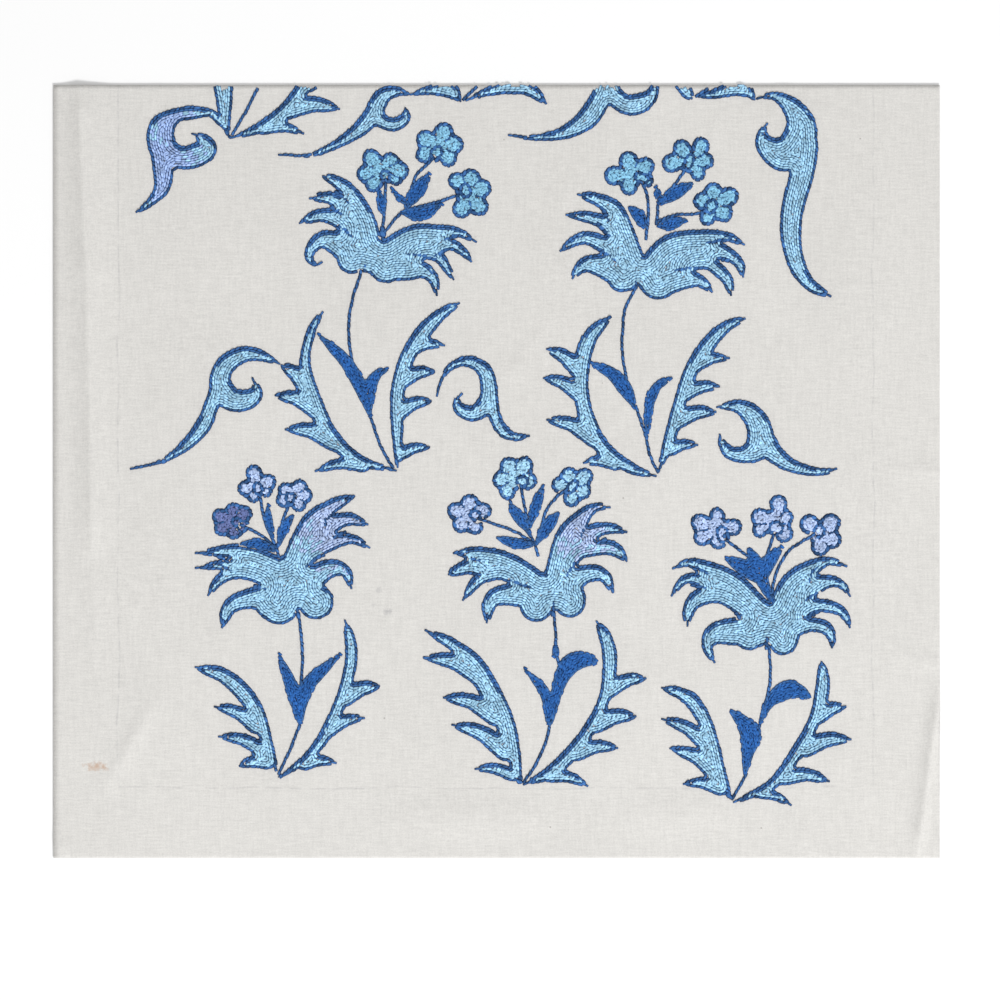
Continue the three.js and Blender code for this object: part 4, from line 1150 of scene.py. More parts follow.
    def blunted(self, line: np.ndarray) -> np.ndarray:
        """The line with its slim ends as wide as one row."""
        line[:, 2] = np.maximum(line[:, 2], self.tip_half_width)
        return line

    def strokes(self) -> list[np.ndarray]:
        """Lines of the light leaves and barbs.

        Returns:
            Rows of x, y, half width for each line.
        """
        lines = [smooth_line(knots) for knots in self.motif.leaves]
        for root_x, root_y, tip_x, tip_y, half_width in self.motif.barbs:
            along_x = tip_x - root_x
            along_y = tip_y - root_y
            side = self.barb_bow if along_x > 0 else -self.barb_bow
            waist = (root_x + along_x / 2 - along_y * side, root_y + along_y / 2 + along_x * side,
                     half_width * self.barb_waist)
            lines.append(smooth_line(((root_x, root_y, half_width), waist, (tip_x, tip_y, 0))))
        return [self.blunted(line) for line in lines]

    def blades(self) -> list[np.ndarray]:
        """Lines of the solid dark leaves, as rows of x, y, half width."""
        return [self.blunted(smooth_line(knots)) for knots in self.motif.blades]

    def stems(self) -> list[np.ndarray]:
        """Lines of the stalks, as rows of x, y, half width."""
        return [smooth_line(tuple((x, y, self.stem_half_width) for x, y in line)) for line in self.motif.stems]

    def along(self, line: np.ndarray, closed: bool) -> tuple[np.ndarray, np.ndarray]:
        """Ends of the stitches along a row.

        Args:
            line: Rows of x, y.
            closed: Whether the row meets its start again.

        Returns:
            Tails and heads of the stitches.
        """
        if closed:
            line = np.vstack([line, line[:1]])
        run = np.concatenate([[0], np.cumsum(np.hypot(*np.diff(line, axis=0).T))])
        count = max(round(run[-1] / self.stitch_length), 1)
        places = np.arange(count + 1, dtype=float)
        places[1:-1] += self.rng.uniform(-self.length_spread, self.length_spread, count - 1) if count > 1 else 0.0
        places *= run[-1] / count
        if closed and count > 3:
            places = places + self.rng.uniform(0, run[-1] / count)
            places = np.where(places > run[-1], places - run[-1], places)
        points = np.stack([np.interp(places, run, line[:, k]) for k in range(2)], axis=-1)
        return points[:-1], points[1:]

    def row(self, line: np.ndarray, closed: bool, shade: Shade, width: float) -> Stitches:
        """A row of chain stitches.

        Args:
            line: Rows of x, y.
            closed: Whether the row meets its start again.
            shade: Thread of the row.
            width: Width of the loops.

        Returns:
            The stitches.
        """
        tails, heads = self.along(line, closed)
        count = len(tails)
        colours = np.tile(thread_and_painted_shade_colours(shade), (count, 1))
        return Stitches(tails, heads, np.full(count, width), colours)

    def ends(self, line: np.ndarray, shade: Shade) -> list[Stitches]:
        """Single rows along the ends of a leaf that are too slim for two.

        Args:
            line: Rows of x, y, half width.
            shade: Thread of the row.

        Returns:
            Sets of stitches.
        """
        slim = line[:, 2] < self.SLIM_END * self.outline_width
        found = []
        for order in (slice(None), slice(None, None, -1)):
            points = line[order]
            wide = np.flatnonzero(~slim[order])
            if len(wide) and not wide[0]:
                continue
            count = min(wide[0] + 2, len(points)) if len(wide) else len(points)
            if count > 1:
                rows = self.row(points[:count][::-1, :2], False, shade, self.outline_width)
                rows.widths[-2:] *= np.array(self.TIP_WIDTHS)[-len(rows.widths):]
                found.append(rows)
            if not len(wide):
                break
        return found

    def outward(self, depth: np.ndarray, grid: Grid, points: np.ndarray) -> np.ndarray:
        """Directions towards the nearest edge of the shape.

        Args:
            depth: Distance to the edge.
            grid: The grid.
            points: Rows of x, y.

        Returns:
            Rows of x, y, each 1 long.
        """
        slope_y, slope_x = np.gradient(depth, grid.cell)
        x = -grid.sample(slope_x, points[:, 0], points[:, 1])
        y = -grid.sample(slope_y, points[:, 0], points[:, 1])
        size = np.maximum(np.hypot(x, y), TINY)
        return np.stack([x / size, y / size], axis=-1)

    def stamp(self, grid: Grid, covered: np.ndarray, stitches: Stitches, radius: float) -> None:
        """Marks the grid where the stitches cover it.

        Args:
            grid: The grid.
            covered: A true or false value for each point, changed in place.
            stitches: The stitches.
            radius: Half width that a stitch covers.
        """
        reach = int(radius / grid.cell) + 1
        di, dj = np.mgrid[-reach:reach + 1, -reach:reach + 1]
        near = np.hypot(di, dj) * grid.cell <= radius
        di = di[near]
        dj = dj[near]
        for share in (0.0, 0.25, 0.5, 0.75, 1.0):
            points = stitches.tails * (1 - share) + stitches.heads * share
            i = np.rint((points[:, 1] - grid.low) / grid.cell).astype(int)[:, None] + di
            j = np.rint((points[:, 0] - grid.left) / grid.cell).astype(int)[:, None] + dj
            i = np.clip(i, 0, covered.shape[0] - 1)
            j = np.clip(j, 0, covered.shape[1] - 1)
            covered[i, j] = True

    def gaps(self, grid: Grid, covered: np.ndarray, depth: np.ndarray, shade: Shade) -> list[Stitches]:
        """Single stitches that fill what the rows leave open.

        Args:
            grid: The grid.
            covered: Where stitches lie already, changed in place.
            depth: Distance to the edge of the shape.
            shade: Thread of the fill.

        Returns:
            The stitches, each set holding one.
        """
        slope_y, slope_x = np.gradient(depth, grid.cell)
        open_cells = np.argwhere(~covered & (depth > self.GAP_DEPTH))
        order = np.argsort(-depth[open_cells[:, 0], open_cells[:, 1]])
        found = []
        for i, j in open_cells[order]:
            if covered[i, j]:
                continue
            middle = np.array([grid.x[i, j], grid.y[i, j]])
            across = np.array([slope_x[i, j], slope_y[i, j]])
            size = np.hypot(*across)
            turn = np.array(self.FREE_DIRECTION)
            if size > self.FLAT_SLOPE:
                turn = np.array([-across[1], across[0]]) / size
            half = 0.5 * self.stitch_length * turn * self.rng.uniform(*self.GAP_LENGTHS)
            one = Stitches((middle - half)[None], (middle + half)[None], np.array([self.fill_width]),
                           thread_and_painted_shade_colours(shade)[None])
            self.stamp(grid, covered, one, self.GAP_ROOM)
            found.append(one)
        return found

    def uncovered(self, grid: Grid, covered: np.ndarray, rows: Stitches) -> Stitches:
        """The stitches whose middle lies on an open point of the grid.

        Args:
            grid: The grid.
            covered: Where stitches lie already.
            rows: The stitches.

        Returns:
            Those that are kept.
        """
        middle = rows.middles()
        i = np.rint((middle[:, 1] - grid.low) / grid.cell).astype(int).clip(0, covered.shape[0] - 1)
        j = np.rint((middle[:, 0] - grid.left) / grid.cell).astype(int).clip(0, covered.shape[1] - 1)
        return rows.kept(~covered[i, j])

    def wedges(self) -> list[Stitches]:
        """Rows of the dark wedges between the petals.

        Returns:
            Sets of stitches.
        """
        found = []
        for knots in self.motif.notches:
            line = smooth_line(knots, links=4)
            rows = self.row(line[:, :2], False, Shade.NAVY, self.outline_width)
            middle = rows.middles()
            nearest = np.hypot(middle[:, :1] - line[:, 0], middle[:, 1:] - line[:, 1]).argmin(axis=1)
            rows.widths = np.maximum(2 * line[nearest, 2] + self.wedge_margin, self.line_width)
            found.append(rows)
        return found

    def light_parts(self, grid: Grid, field: np.ndarray, over: np.ndarray) -> list[Stitches]:
        """Rows of the light leaves and petals, outline first.

        Args:
            grid: The grid.
            field: Values that are negative inside the light parts.
            over: Values that are negative where dark leaves and stalks lie over them.

        Returns:
            Sets of stitches.
        """
        depth = depth_inside(grid, field)
        covered = over < self.overlap
        parts = self.wedges()
        for rows in parts:
            self.stamp(grid, covered, rows, self.WEDGE_ROOM)
        taken = covered.copy()
        for line in self.strokes():
            for tips in self.ends(line, Shade.NAVY):
                tips = self.uncovered(grid, taken, tips)
                self.stamp(grid, covered, tips, self.TIP_ROOM)
                parts.append(tips)
        level = self.edge_inset * self.outline_width
        first = True
        while level < depth.max():
            for loop in contours(grid, -depth, -level):
                if run_of(loop) < self.shortest_run:
                    continue
                rows = self.row(loop, True, Shade.NAVY if first else Shade.SKY,
                                self.outline_width if first else self.fill_width)
                if not first and level < self.shaded_depth:
                    out = self.outward(depth, grid, rows.middles())
                    rows.colours[out[:, 1] > self.upper_edge] = thread_and_painted_shade_colours(Shade.NAVY)
                parts.append(self.uncovered(grid, covered, rows))
            level += self.row_step
            first = False
        for rows in parts:
            self.stamp(grid, covered, rows, self.FILL_ROOM)
        covered |= depth < self.LEAF_RIM
        parts.extend(self.gaps(grid, covered, depth, Shade.SKY))
        for rows in parts:
            self.recolour(rows)
        return parts

    def recolour(self, rows: Stitches) -> None:
        """Gives the sky blue stitches inside the patches their own thread.

        Args:
            rows: The stitches, changed in place.
        """
        sky = np.abs(rows.colours - thread_and_painted_shade_colours(Shade.SKY)).max(axis=1) < TINY
        middle = rows.middles()
        for x, y, reach, shade in self.motif.patches:
            blur = self.rng.uniform(-self.patch_blur, self.patch_blur, len(middle))
            near = np.hypot(middle[:, 0] - x, middle[:, 1] - y) + blur < reach
            rows.colours[sky & near] = thread_and_painted_shade_colours(shade)

    def dark_parts(self, grid: Grid, field: np.ndarray) -> list[Stitches]:
        """Rows of the dark leaves, from the edge inwards.

        Args:
            grid: The grid.
            field: Values that are negative inside the dark leaves.

        Returns:
            Sets of stitches.
        """
        depth = depth_inside(grid, field)
        covered = np.zeros(field.shape, bool)
        parts = []
        for line in self.blades():
            for tips in self.ends(line, Shade.NAVY):
                self.stamp(grid, covered, tips, self.TIP_ROOM)
                parts.append(tips)
        level = self.blade_inset * self.outline_width
        shade = Shade.NAVY
        while level < depth.max():
            for loop in contours(grid, -depth, -level):
                if run_of(loop) < self.shortest_run:
                    continue
                parts.append(self.uncovered(grid, covered, self.row(loop, True, shade, self.fill_width)))
            level += self.row_step
            shade = Shade.COBALT
        for rows in parts:
            self.stamp(grid, covered, rows, self.BLADE_ROOM)
        parts.extend(self.gaps(grid, covered, depth, Shade.COBALT))
        return parts

    def petal_gaps(self, flower: Floret) -> list[Stitches]:
        """Thin dark lines that run in between neighbouring petals.

        Args:
            flower: Its sizes.

        Returns:
            Sets of stitches.
        """
        middle, *petals = (np.array(petal) for petal in flower.petals)
        found = []
        for first, second in zip(petals, [*petals[1:], petals[0]]):
            across = second[:2] - first[:2]
            apart = np.hypot(*across)
            reach = (first[2] ** 2 - second[2] ** 2 + apart ** 2) / (2 * apart)
            if apart >= first[2] + second[2]:
                continue
            rise = math.sqrt(max(first[2] ** 2 - reach ** 2, 0.0))
            normal = np.array([-across[1], across[0]]) / apart
            ends = [first[:2] + across * reach / apart + side * rise * normal for side in (-1, 1)]
            outer = max(ends, key=lambda end: np.hypot(*(end - middle[:2])))
            inward = middle[:2] - outer
            length = np.hypot(*inward)
            start = outer + inward / length * self.PETAL_LINE_START * self.outline_width
            end = outer + inward * max(1 - self.PETAL_LINE_REACH * middle[2] / length, self.SHORTEST_PETAL_LINE)
            found.append(self.row(np.stack([start, end]), False, Shade.NAVY, self.thin_width))
        return found

    def eye_ring(self, flower: Floret) -> np.ndarray:
        """Oval line round the eye of a round flower.

        Args:
            flower: Its sizes.

        Returns:
            Rows of x, y.
        """
        ex, ey, half_length, half_width, turn = flower.eye
        angle = math.radians(turn)
        around = np.linspace(0, 2 * math.pi, self.EYE_POINTS + 1)[:-1]
        along = half_length * np.cos(around)
        aside = half_width * np.sin(around)
        return np.stack([ex + along * math.cos(angle) - aside * math.sin(angle),
                         ey + along * math.sin(angle) + aside * math.cos(angle)], axis=-1)

    def floret(self, flower: Floret) -> list[Stitches]:
        """Rows of a round flower, petal by petal.

        Args:
            flower: Its sizes.

        Returns:
            Sets of stitches.
        """
        grid = Grid.around(np.array(flower.petals), self.cell)
        discs = [np.hypot(grid.x - x, grid.y - y) - radius for x, y, radius in flower.petals]
        field = np.min(discs, axis=0)
        depth = depth_inside(grid, field)
        covered = np.zeros(field.shape, bool)
        parts = [self.row(self.eye_ring(flower), True, Shade.NAVY, self.floret_outline), *self.petal_gaps(flower)]
        self.stamp(grid, covered, parts[0], self.EYE_ROOM)
        for rows in parts[1:]:
            self.stamp(grid, covered, rows, self.PETAL_LINE_ROOM)
        for loop in contours(grid, -depth, -self.edge_inset * self.floret_outline):
            parts.append(self.row(loop, True, Shade.NAVY, self.floret_outline))
        laid = []
        for k, disc in enumerate(discs):
            others = np.min(discs[:k] + discs[k + 1:], axis=0)
            cell = np.maximum(disc + self.petal_rim * self.floret_outline, (disc - others) / 2 + self.petal_spacing)
            level = self.petal_inset * self.fill_width
            while level < -cell.min():
                for loop in contours(grid, cell, -level):
                    if run_of(loop) > self.shortest_run:
                        rows = self.row(loop, True, flower.filling, self.fill_width)
                        laid.append(self.uncovered(grid, covered, rows))
                level += self.row_step
        for rows in laid:
            self.stamp(grid, covered, rows, self.PETAL_ROOM)
        covered |= depth < self.FLORET_RIM
        parts += laid + self.gaps(grid, covered, depth, flower.filling)
        over = np.full(field.shape, OUT_OF_REACH)
        for line in self.stems():
            stroke_field(grid, line, over)
        kept = []
        for rows in parts:
            middle = rows.middles()
            kept.append(rows.kept(grid.sample(over, middle[:, 0], middle[:, 1]) > self.overlap))
        return kept

    def worked(self) -> Stitches:
        """Every stitch of the motif, the dark parts over the light ones.

        Returns:
            The stitches that lie on the cloth.
        """
        light = self.strokes()
        dark = self.blades()
        stems = self.stems()
        bellies = self.motif.bellies
        reach = np.vstack(light + dark + stems + [np.array([[x, y, max(a, b)]]) for x, y, a, b in bellies])
        grid = Grid.around(reach, self.cell)
        light_field = np.full(grid.x.shape, OUT_OF_REACH)
        dark_field = np.full(grid.x.shape, OUT_OF_REACH)
        for line in light:
            stroke_field(grid, line, light_field)
        for x, y, a, b in bellies:
            disc_field(grid, x, y, a, b, light_field)
        for line in dark:
            stroke_field(grid, line, dark_field)
        over = dark_field.copy()
        for line in stems:
            stroke_field(grid, line, over)
        parts = []
        if light:
            parts.extend(self.light_parts(grid, light_field, over))
        if dark:
            parts.extend(self.dark_parts(grid, dark_field))
        for line in stems:
            parts.append(self.row(line[:, :2], False, Shade.NAVY, self.outline_width))
        for flower in self.motif.florets:
            parts.extend(self.floret(flower))
        every = Stitches.joined([part for part in parts if len(part.tails)])
        spread = np.where(every.widths != self.fill_width, self.rope_unevenness, self.unevenness)
        light_draw = self.rng.normal(0.0, 1.0, len(every.tails)).clip(-self.LIGHT_LIMIT, self.LIGHT_LIMIT)
        every.colours *= (1 + spread * light_draw)[:, None]
        top = np.maximum(every.tails[:, 1], every.heads[:, 1])
        return every.kept(top < self.cloth.width / 2 - self.cut_margin)

    def loop_faces(self) -> np.ndarray:
        """Faces of one loop: two bands between its rings, then its foot and its hollow.

        Returns:
            Rows of four corner numbers.
        """
        crest = self.RING_CORNERS
        hollow = 2 * self.RING_CORNERS
        last = self.RING_CORNERS - 1
        faces = []
        for k in range(self.RING_CORNERS):
            after = (k + 1) % self.RING_CORNERS
            faces.append((after, k, crest + k, crest + after))
            faces.append((crest + after, crest + k, hollow + k, hollow + after))
        for k in range(self.RING_CORNERS // 2 - 1):
            faces.append((k, k + 1, last - 1 - k, last - k))
            faces.append((hollow + last - k, hollow + last - 1 - k, hollow + k + 1, hollow + k))
        return np.array(faces)

    def build(self) -> bpy.types.Object:
        """Makes the motif's loops as one mesh.

        Returns:
            The embroidered motif at its place on the cloth.
        """
        stitches = self.worked()
        count = len(stitches.tails)
        along = stitches.heads - stitches.tails
        across = np.stack([-along[:, 1], along[:, 0]], axis=-1)
        across /= np.maximum(np.hypot(*across.T), TINY)[:, None]
        rope = (stitches.widths != self.fill_width).astype(float)
        half = 0.5 * stitches.widths * self.rng.uniform(*self.WIDTH_RANGE, count)
        nudge = self.rng.uniform(-self.SIDEWAYS, self.SIDEWAYS, count) * (1 + rope)
        lean = self.slant + (self.rope_slant - self.slant) * rope
        slant = lean * half * self.rng.uniform(*self.LEAN_RANGE, count)
        height = self.loop_height * (1 + self.rope_rise * rope) * self.rng.uniform(*self.HEIGHT_RANGE, count)
        size = self.RING_CORNERS * len(self.RINGS)
        corners = np.empty((count, size, 3))
        colours = np.ones((count, size, 4))
        for layer, ring in enumerate(self.RINGS):
            both = [*ring, *((u, -v, h, light) for u, v, h, light in reversed(ring))]
            for k, (u, v, h, light) in enumerate(both):
                drawn_in = 1 - self.pinch * rope * (k in self.FOOT_ENDS and layer == 0)
                narrower = 1 - (1 - self.rope_crest) * rope * (layer == 1)
                aside = v * half * drawn_in * narrower + nudge + (slant * (2 * u - 1) if layer else 0.0)
                at = layer * self.RING_CORNERS + k
                corners[:, at, :2] = stitches.tails + along * u + across * aside[:, None]
                corners[:, at, 2] = h * height
                # Painted highlight and shade: the corner's colour mixes the crest colour and the painted shade colour
                # by its share of the painted light.
                colours[:, at, :3] = stitches.colours[:, :3] * light + stitches.colours[:, 3:] * (1 - light)
        flat = corners.reshape(-1, 3)
        flat[:, 2] += self.cloth.top(flat[:, 0], flat[:, 1])
        quads = (self.loop_faces()[None] + size * np.arange(count)[:, None, None]).reshape(-1, 4)
        piece = mesh_object(f"chain_stitch_{self.name}", flat * MM, quads)
        # The loop colours carry the painted highlight and shade of the chain stitches.
        tone = piece.data.attributes.new("thread", "FLOAT_COLOR", "POINT")
        tone.data.foreach_set("color", colours.astype(np.float32).ravel())
        log.info("%s: %d stitches", piece.name, count)
        return piece


@dataclass
class Shader:
    """Nodes of one material.

    Attributes:
        material: The material.
    """

    material: bpy.types.Material

    @classmethod
    def named(cls, name: str) -> "Shader":
        """Empty material with a Principled shader.

        Args:
            name: Name of the material.

        Returns:
            Its nodes.
        """
        material = bpy.data.materials.new(name)
        material.use_nodes = True
        return cls(material)

    @property
    def surface(self) -> bpy.types.Node:
        """The Principled shader."""
        return self.material.node_tree.nodes["Principled BSDF"]

    def node(self, kind: str, **values: object) -> bpy.types.Node:
        """Adds a node.

        Args:
            kind: Type of the node.
            values: Settings of the node by name.

        Returns:
            The node.
        """
        made = self.material.node_tree.nodes.new(kind)
        for key, value in values.items():
            setattr(made, key, value)
        return made

    def link(self, source: bpy.types.NodeSocket, target: bpy.types.NodeSocket) -> None:
        """Joins two sockets."""
        self.material.node_tree.links.new(source, target)

    def math(self, operation: str, *inputs: object) -> bpy.types.NodeSocket:
        """Adds a sum.

        Args:
            operation: Name of the sum.
            inputs: Sockets or numbers.

        Returns:
            Its result.
        """
        made = self.node("ShaderNodeMath", operation=operation)
        for socket, value in zip(made.inputs, inputs):
            if isinstance(value, bpy.types.NodeSocket):
                self.link(value, socket)
            else:
                socket.default_value = value
        return made.outputs[0]

    def mix(self, factor: object, first: object, second: object) -> bpy.types.NodeSocket:
        """Mixes two colours.

        Args:
            factor: Share of the second one.
            first: Socket or colour.
            second: Socket or colour.

        Returns:
            The mixed colour.
        """
        made = self.node("ShaderNodeMix", data_type="RGBA")
        for socket, value in zip((made.inputs[0], made.inputs[6], made.inputs[7]), (factor, first, second)):
            if isinstance(value, bpy.types.NodeSocket):
                self.link(value, socket)
            elif isinstance(value, tuple):
                socket.default_value = (*value, 1.0)
            else:
                socket.default_value = value
        return made.outputs[2]

    def total(self, *terms: bpy.types.NodeSocket) -> bpy.types.NodeSocket:
        """Adds up several sockets, in their order."""
        return reduce(lambda first, second: self.math("ADD", first, second), terms)

    def product(self, *terms: bpy.types.NodeSocket) -> bpy.types.NodeSocket:
        """Multiplies several sockets, in their order."""
        return reduce(lambda first, second: self.math("MULTIPLY", first, second), terms)

    def spread(self, value: bpy.types.NodeSocket, first: float, last: float) -> bpy.types.NodeSocket:
        """Maps a noise to the range from first to last."""
        return self.ramp(value, *NOISE_RANGE, first, last)

    def relief(self, height: bpy.types.NodeSocket, strength: float, depth: float) -> None:
        """Gives the surface a fine relief.

        Args:
            height: Its height.
            strength: How strongly it shows.
            depth: Its depth in metres.
        """
        bump = self.node("ShaderNodeBump")
        bump.inputs["Strength"].default_value = strength
        bump.inputs["Distance"].default_value = depth
        self.link(height, bump.inputs["Height"])
        self.link(bump.outputs[0], self.surface.inputs["Normal"])

    def noise(self, vector: bpy.types.NodeSocket, scale: float, detail: float = 2.0) -> bpy.types.NodeSocket:
        """Adds a noise.

        Args:
            vector: Where it is read.
            scale: Size of its pattern, in waves a metre.
            detail: Number of finer layers.

        Returns:
            Its value.
        """
        made = self.node("ShaderNodeTexNoise")
        made.inputs["Scale"].default_value = scale
        made.inputs["Detail"].default_value = detail
        self.link(vector, made.inputs["Vector"])
        return made.outputs[0]

    def ramp(self, value: bpy.types.NodeSocket, low: float, high: float, first: float, last: float
             ) -> bpy.types.NodeSocket:
        """Maps a range of values to another one.

        Args:
            value: What is mapped.
            low: Start of its range.
            high: End of its range.
            first: Result at the start.
            last: Result at the end.

        Returns:
            The result.
        """
        made = self.node("ShaderNodeMapRange")
        self.link(value, made.inputs[0])
        for socket, number in zip(made.inputs[1:5], (low, high, first, last)):
            socket.default_value = number
        return made.outputs[0]


@dataclass(frozen=True)
class CottonFinish:
    """Natural cotton in plain weave, with its slubs, pencil lines and stains.

    Attributes:
        tint: Colour of the cotton in sRGB from 0 to 255.
        thread_pitch: Spacing of the threads in metres.
        roughness: Roughness of the dry fibre.
        pencil: Width of a pencil line in metres.
        pencil_strength: How dark the pencil lines are.
        waver: How far the pencil lines stray.
        fleck_scale: Husk flecks along a metre of yarn.
        gloss: Strength of its gloss, low on cotton.
        wander: How far a thread strays from its place in metres.
        yarn_stretch: Width of a slub against its length.
        slub_height: Height of the slubs against that of the weave.
        relief_strength: How strongly the weave shows.
        relief_depth: Its depth in metres.
    """

    tint: Colour = (222, 220, 216)
    thread_pitch: float = 0.00045
    roughness: float = 0.92
    pencil: float = 0.0007
    pencil_strength: float = 0.16
    waver: float = 0.0012
    fleck_scale: float = 75.0
    gloss: float = 0.2
    wander: float = 0.00022
    yarn_stretch: float = 0.12
    slub_height: float = 0.8
    relief_strength: float = 0.5
    relief_depth: float = 0.0002

    GRAPHITE = (0.22, 0.22, 0.25)
    SEED_HUSK = (0.16, 0.13, 0.11)
    RUST = (0.48, 0.22, 0.07)

    # Waves a metre of the threads' wander, the slubs, the upright yarns, the specks, the clouds, the waver and the
    # grain of the pencil lines, and the rims of the spots.
    WANDER_SCALE = 260
    SLUB_SCALE = 900
    UPRIGHT_SCALE = 700
    SPECK_SCALE = 1100
    CLOUD_SCALE = 14
    WAVER_SCALE = 22
    GRAIN_SCALE = 160
    RAGGED_SCALE = 420
    YARN_DETAIL = 3

    # Least and greatest change of light by the slubs, the specks, the upright yarns and the clouds, then the painted
    # shade in the gaps of the weave and the painted highlight on its threads, and the heights of the weave between
    # which this painted light changes.
    SLUB_TONE = (-0.055, 0.04)
    SPECK_TONE = (-0.06, 0.05)
    UPRIGHT_TONE = (-0.035, 0.03)
    CLOUD_TONE = (-0.02, 0.012)
    WEAVE_PAINTED_LIGHT = (-0.05, 0.015)
    WEAVE_RANGE = (0.0, 0.7)

    # Pencil lines in metres: whether each runs upright, its place, and where it starts and ends. Then the length over
    # which they end, and the noise range over which they go from faint to full.
    PENCIL_LINES = ((True, -0.227, -0.19, 0.24), (True, 0.226, -0.19, 0.24), (False, -0.190, -0.227, 0.205))
    PENCIL_END = 0.001
    PENCIL_GRAIN = (0.38, 0.62, 0.1, 1.0)

    # How ragged the rim of a spot is and where it fades, the random value over which a cell of the pattern holds a
    # husk, the distances between which a husk fades, as shares of a cell, and how dark it is.
    SPOT_RAGGED = 0.5
    SPOT_FADE = (0.3, 1.1)
    HUSK_LIMIT = 0.72
    HUSK_SIZE = (0.02, 0.05)
    HUSK_STRENGTH = 0.55

    # Marks on the cloth: centre x, centre y, half size in x, half size in y in millimetres, strength, colour.
    SPOTS = (
        (-240, -177, 6.5, 2.8, 0.5, RUST),
        (-71, -71, 2.2, 1.6, 0.2, GRAPHITE),
        (-65, -84, 3.6, 2.2, 0.3, GRAPHITE),
        (-74, -80, 1.6, 1.2, 0.14, GRAPHITE),
    )

    def material(self) -> bpy.types.Material:
        """Builds the material.

        Returns:
            The material.
        """
        shader = Shader.named("natural_cotton")
        place = shader.node("ShaderNodeTexCoord").outputs["Object"]
        split = shader.node("ShaderNodeSeparateXYZ")
        shader.link(place, split.inputs[0])
        x, y = split.outputs[0], split.outputs[1]
        shift = shader.spread(shader.noise(place, self.WANDER_SCALE), -self.wander, self.wander)
        weave = shader.product(self.threads(shader, x, shift), self.threads(shader, y, shift))
        slub = self.yarn(shader, place, (self.yarn_stretch, 1.0, 1.0), self.SLUB_SCALE)
        upright = self.yarn(shader, place, (1.0, self.yarn_stretch, 1.0), self.UPRIGHT_SCALE)
        speck = shader.noise(place, self.SPECK_SCALE)
        cloud = shader.noise(place, self.CLOUD_SCALE, self.YARN_DETAIL)
        # Random tone of the slubs, specks, yarns and clouds, with painted shade in the gaps of the weave.
        tone = shader.total(shader.spread(slub, *self.SLUB_TONE), shader.spread(speck, *self.SPECK_TONE),
                            shader.spread(upright, *self.UPRIGHT_TONE), shader.spread(cloud, *self.CLOUD_TONE),
                            shader.ramp(weave, *self.WEAVE_RANGE, *self.WEAVE_PAINTED_LIGHT))
        scaled = shader.node("ShaderNodeVectorMath", operation="SCALE")
        scaled.inputs[0].default_value = tuple(linear(np.array(self.tint) / 255))
        shader.link(shader.math("ADD", tone, 1.0), scaled.inputs["Scale"])
        colour = self.marked(shader, place, x, y, scaled.outputs[0])
        shader.link(colour, shader.surface.inputs["Base Color"])
        shader.surface.inputs["Roughness"].default_value = self.roughness
        shader.surface.inputs["Specular IOR Level"].default_value = self.gloss
        height = shader.total(weave, shader.math("MULTIPLY", slub, self.slub_height))
        shader.relief(height, self.relief_strength, self.relief_depth)
        return shader.material

    def threads(self, shader: Shader, across: bpy.types.NodeSocket, shift: bpy.types.NodeSocket
                ) -> bpy.types.NodeSocket:
        """Rounded threads side by side, from 0 in the gap to 1 on the crest.

        Args:
            shader: The material's nodes.
            across: Place across the threads.
            shift: How far they stray.

        Returns:
            Their height.
        """
        turns = shader.math("MULTIPLY", shader.math("ADD", across, shift), math.pi / self.thread_pitch)
        return shader.math("ABSOLUTE", shader.math("SINE", turns))

    def yarn(self, shader: Shader, place: bpy.types.NodeSocket, stretch: tuple[float, float, float], scale: float
             ) -> bpy.types.NodeSocket:
        """Uneven yarn, as a noise drawn out one way.

        Args:
            shader: The material's nodes.
            place: Where it is read.
            stretch: Scale in x, y and z.
            scale: Waves a metre.

        Returns:
            Its value.
        """
        mapping = shader.node("ShaderNodeMapping")
        mapping.inputs["Scale"].default_value = stretch
        shader.link(place, mapping.inputs[0])
        return shader.noise(mapping.outputs[0], scale, self.YARN_DETAIL)

    def marked(self, shader: Shader, place: bpy.types.NodeSocket, x: bpy.types.NodeSocket, y: bpy.types.NodeSocket,
               colour: bpy.types.NodeSocket) -> bpy.types.NodeSocket:
        """Adds the pencil lines, the stain, the smudges and the dark flecks in the yarn.

        Args:
            shader: The material's nodes.
            place: Where it is read.
            x: Its x.
            y: Its y.
            colour: Colour of the clean cotton.

        Returns:
            The colour with the marks.
        """
        waver = shader.spread(shader.noise(place, self.WAVER_SCALE), -self.waver, self.waver)
        faint = shader.ramp(shader.noise(place, self.GRAIN_SCALE), *self.PENCIL_GRAIN)
        for upright, at, low, high in self.PENCIL_LINES:
            across, along = (x, y) if upright else (y, x)
            aside = shader.math("ABSOLUTE", shader.total(shader.math("SUBTRACT", across, at), waver))
            line = shader.product(
                shader.ramp(aside, self.pencil / 2, self.pencil, self.pencil_strength, 0.0),
                shader.ramp(along, low, low + self.PENCIL_END, 0.0, 1.0),
                shader.ramp(along, high - self.PENCIL_END, high, 1.0, 0.0), faint)
            colour = shader.mix(line, colour, self.GRAPHITE)
        rim = shader.noise(place, self.RAGGED_SCALE, self.YARN_DETAIL)
        ragged = shader.spread(rim, -self.SPOT_RAGGED, self.SPOT_RAGGED)
        for cx, cy, half_x, half_y, strength, tint in self.SPOTS:
            u = shader.math("DIVIDE", shader.math("SUBTRACT", x, cx * MM), half_x * MM)
            v = shader.math("DIVIDE", shader.math("SUBTRACT", y, cy * MM), half_y * MM)
            far = shader.math("SQRT", shader.total(shader.product(u, u), shader.product(v, v)))
            spot = shader.ramp(shader.total(far, ragged), *self.SPOT_FADE, strength, 0.0)
            colour = shader.mix(spot, colour, tint)
        seeds = shader.node("ShaderNodeTexVoronoi")
        seeds.inputs["Scale"].default_value = self.fleck_scale
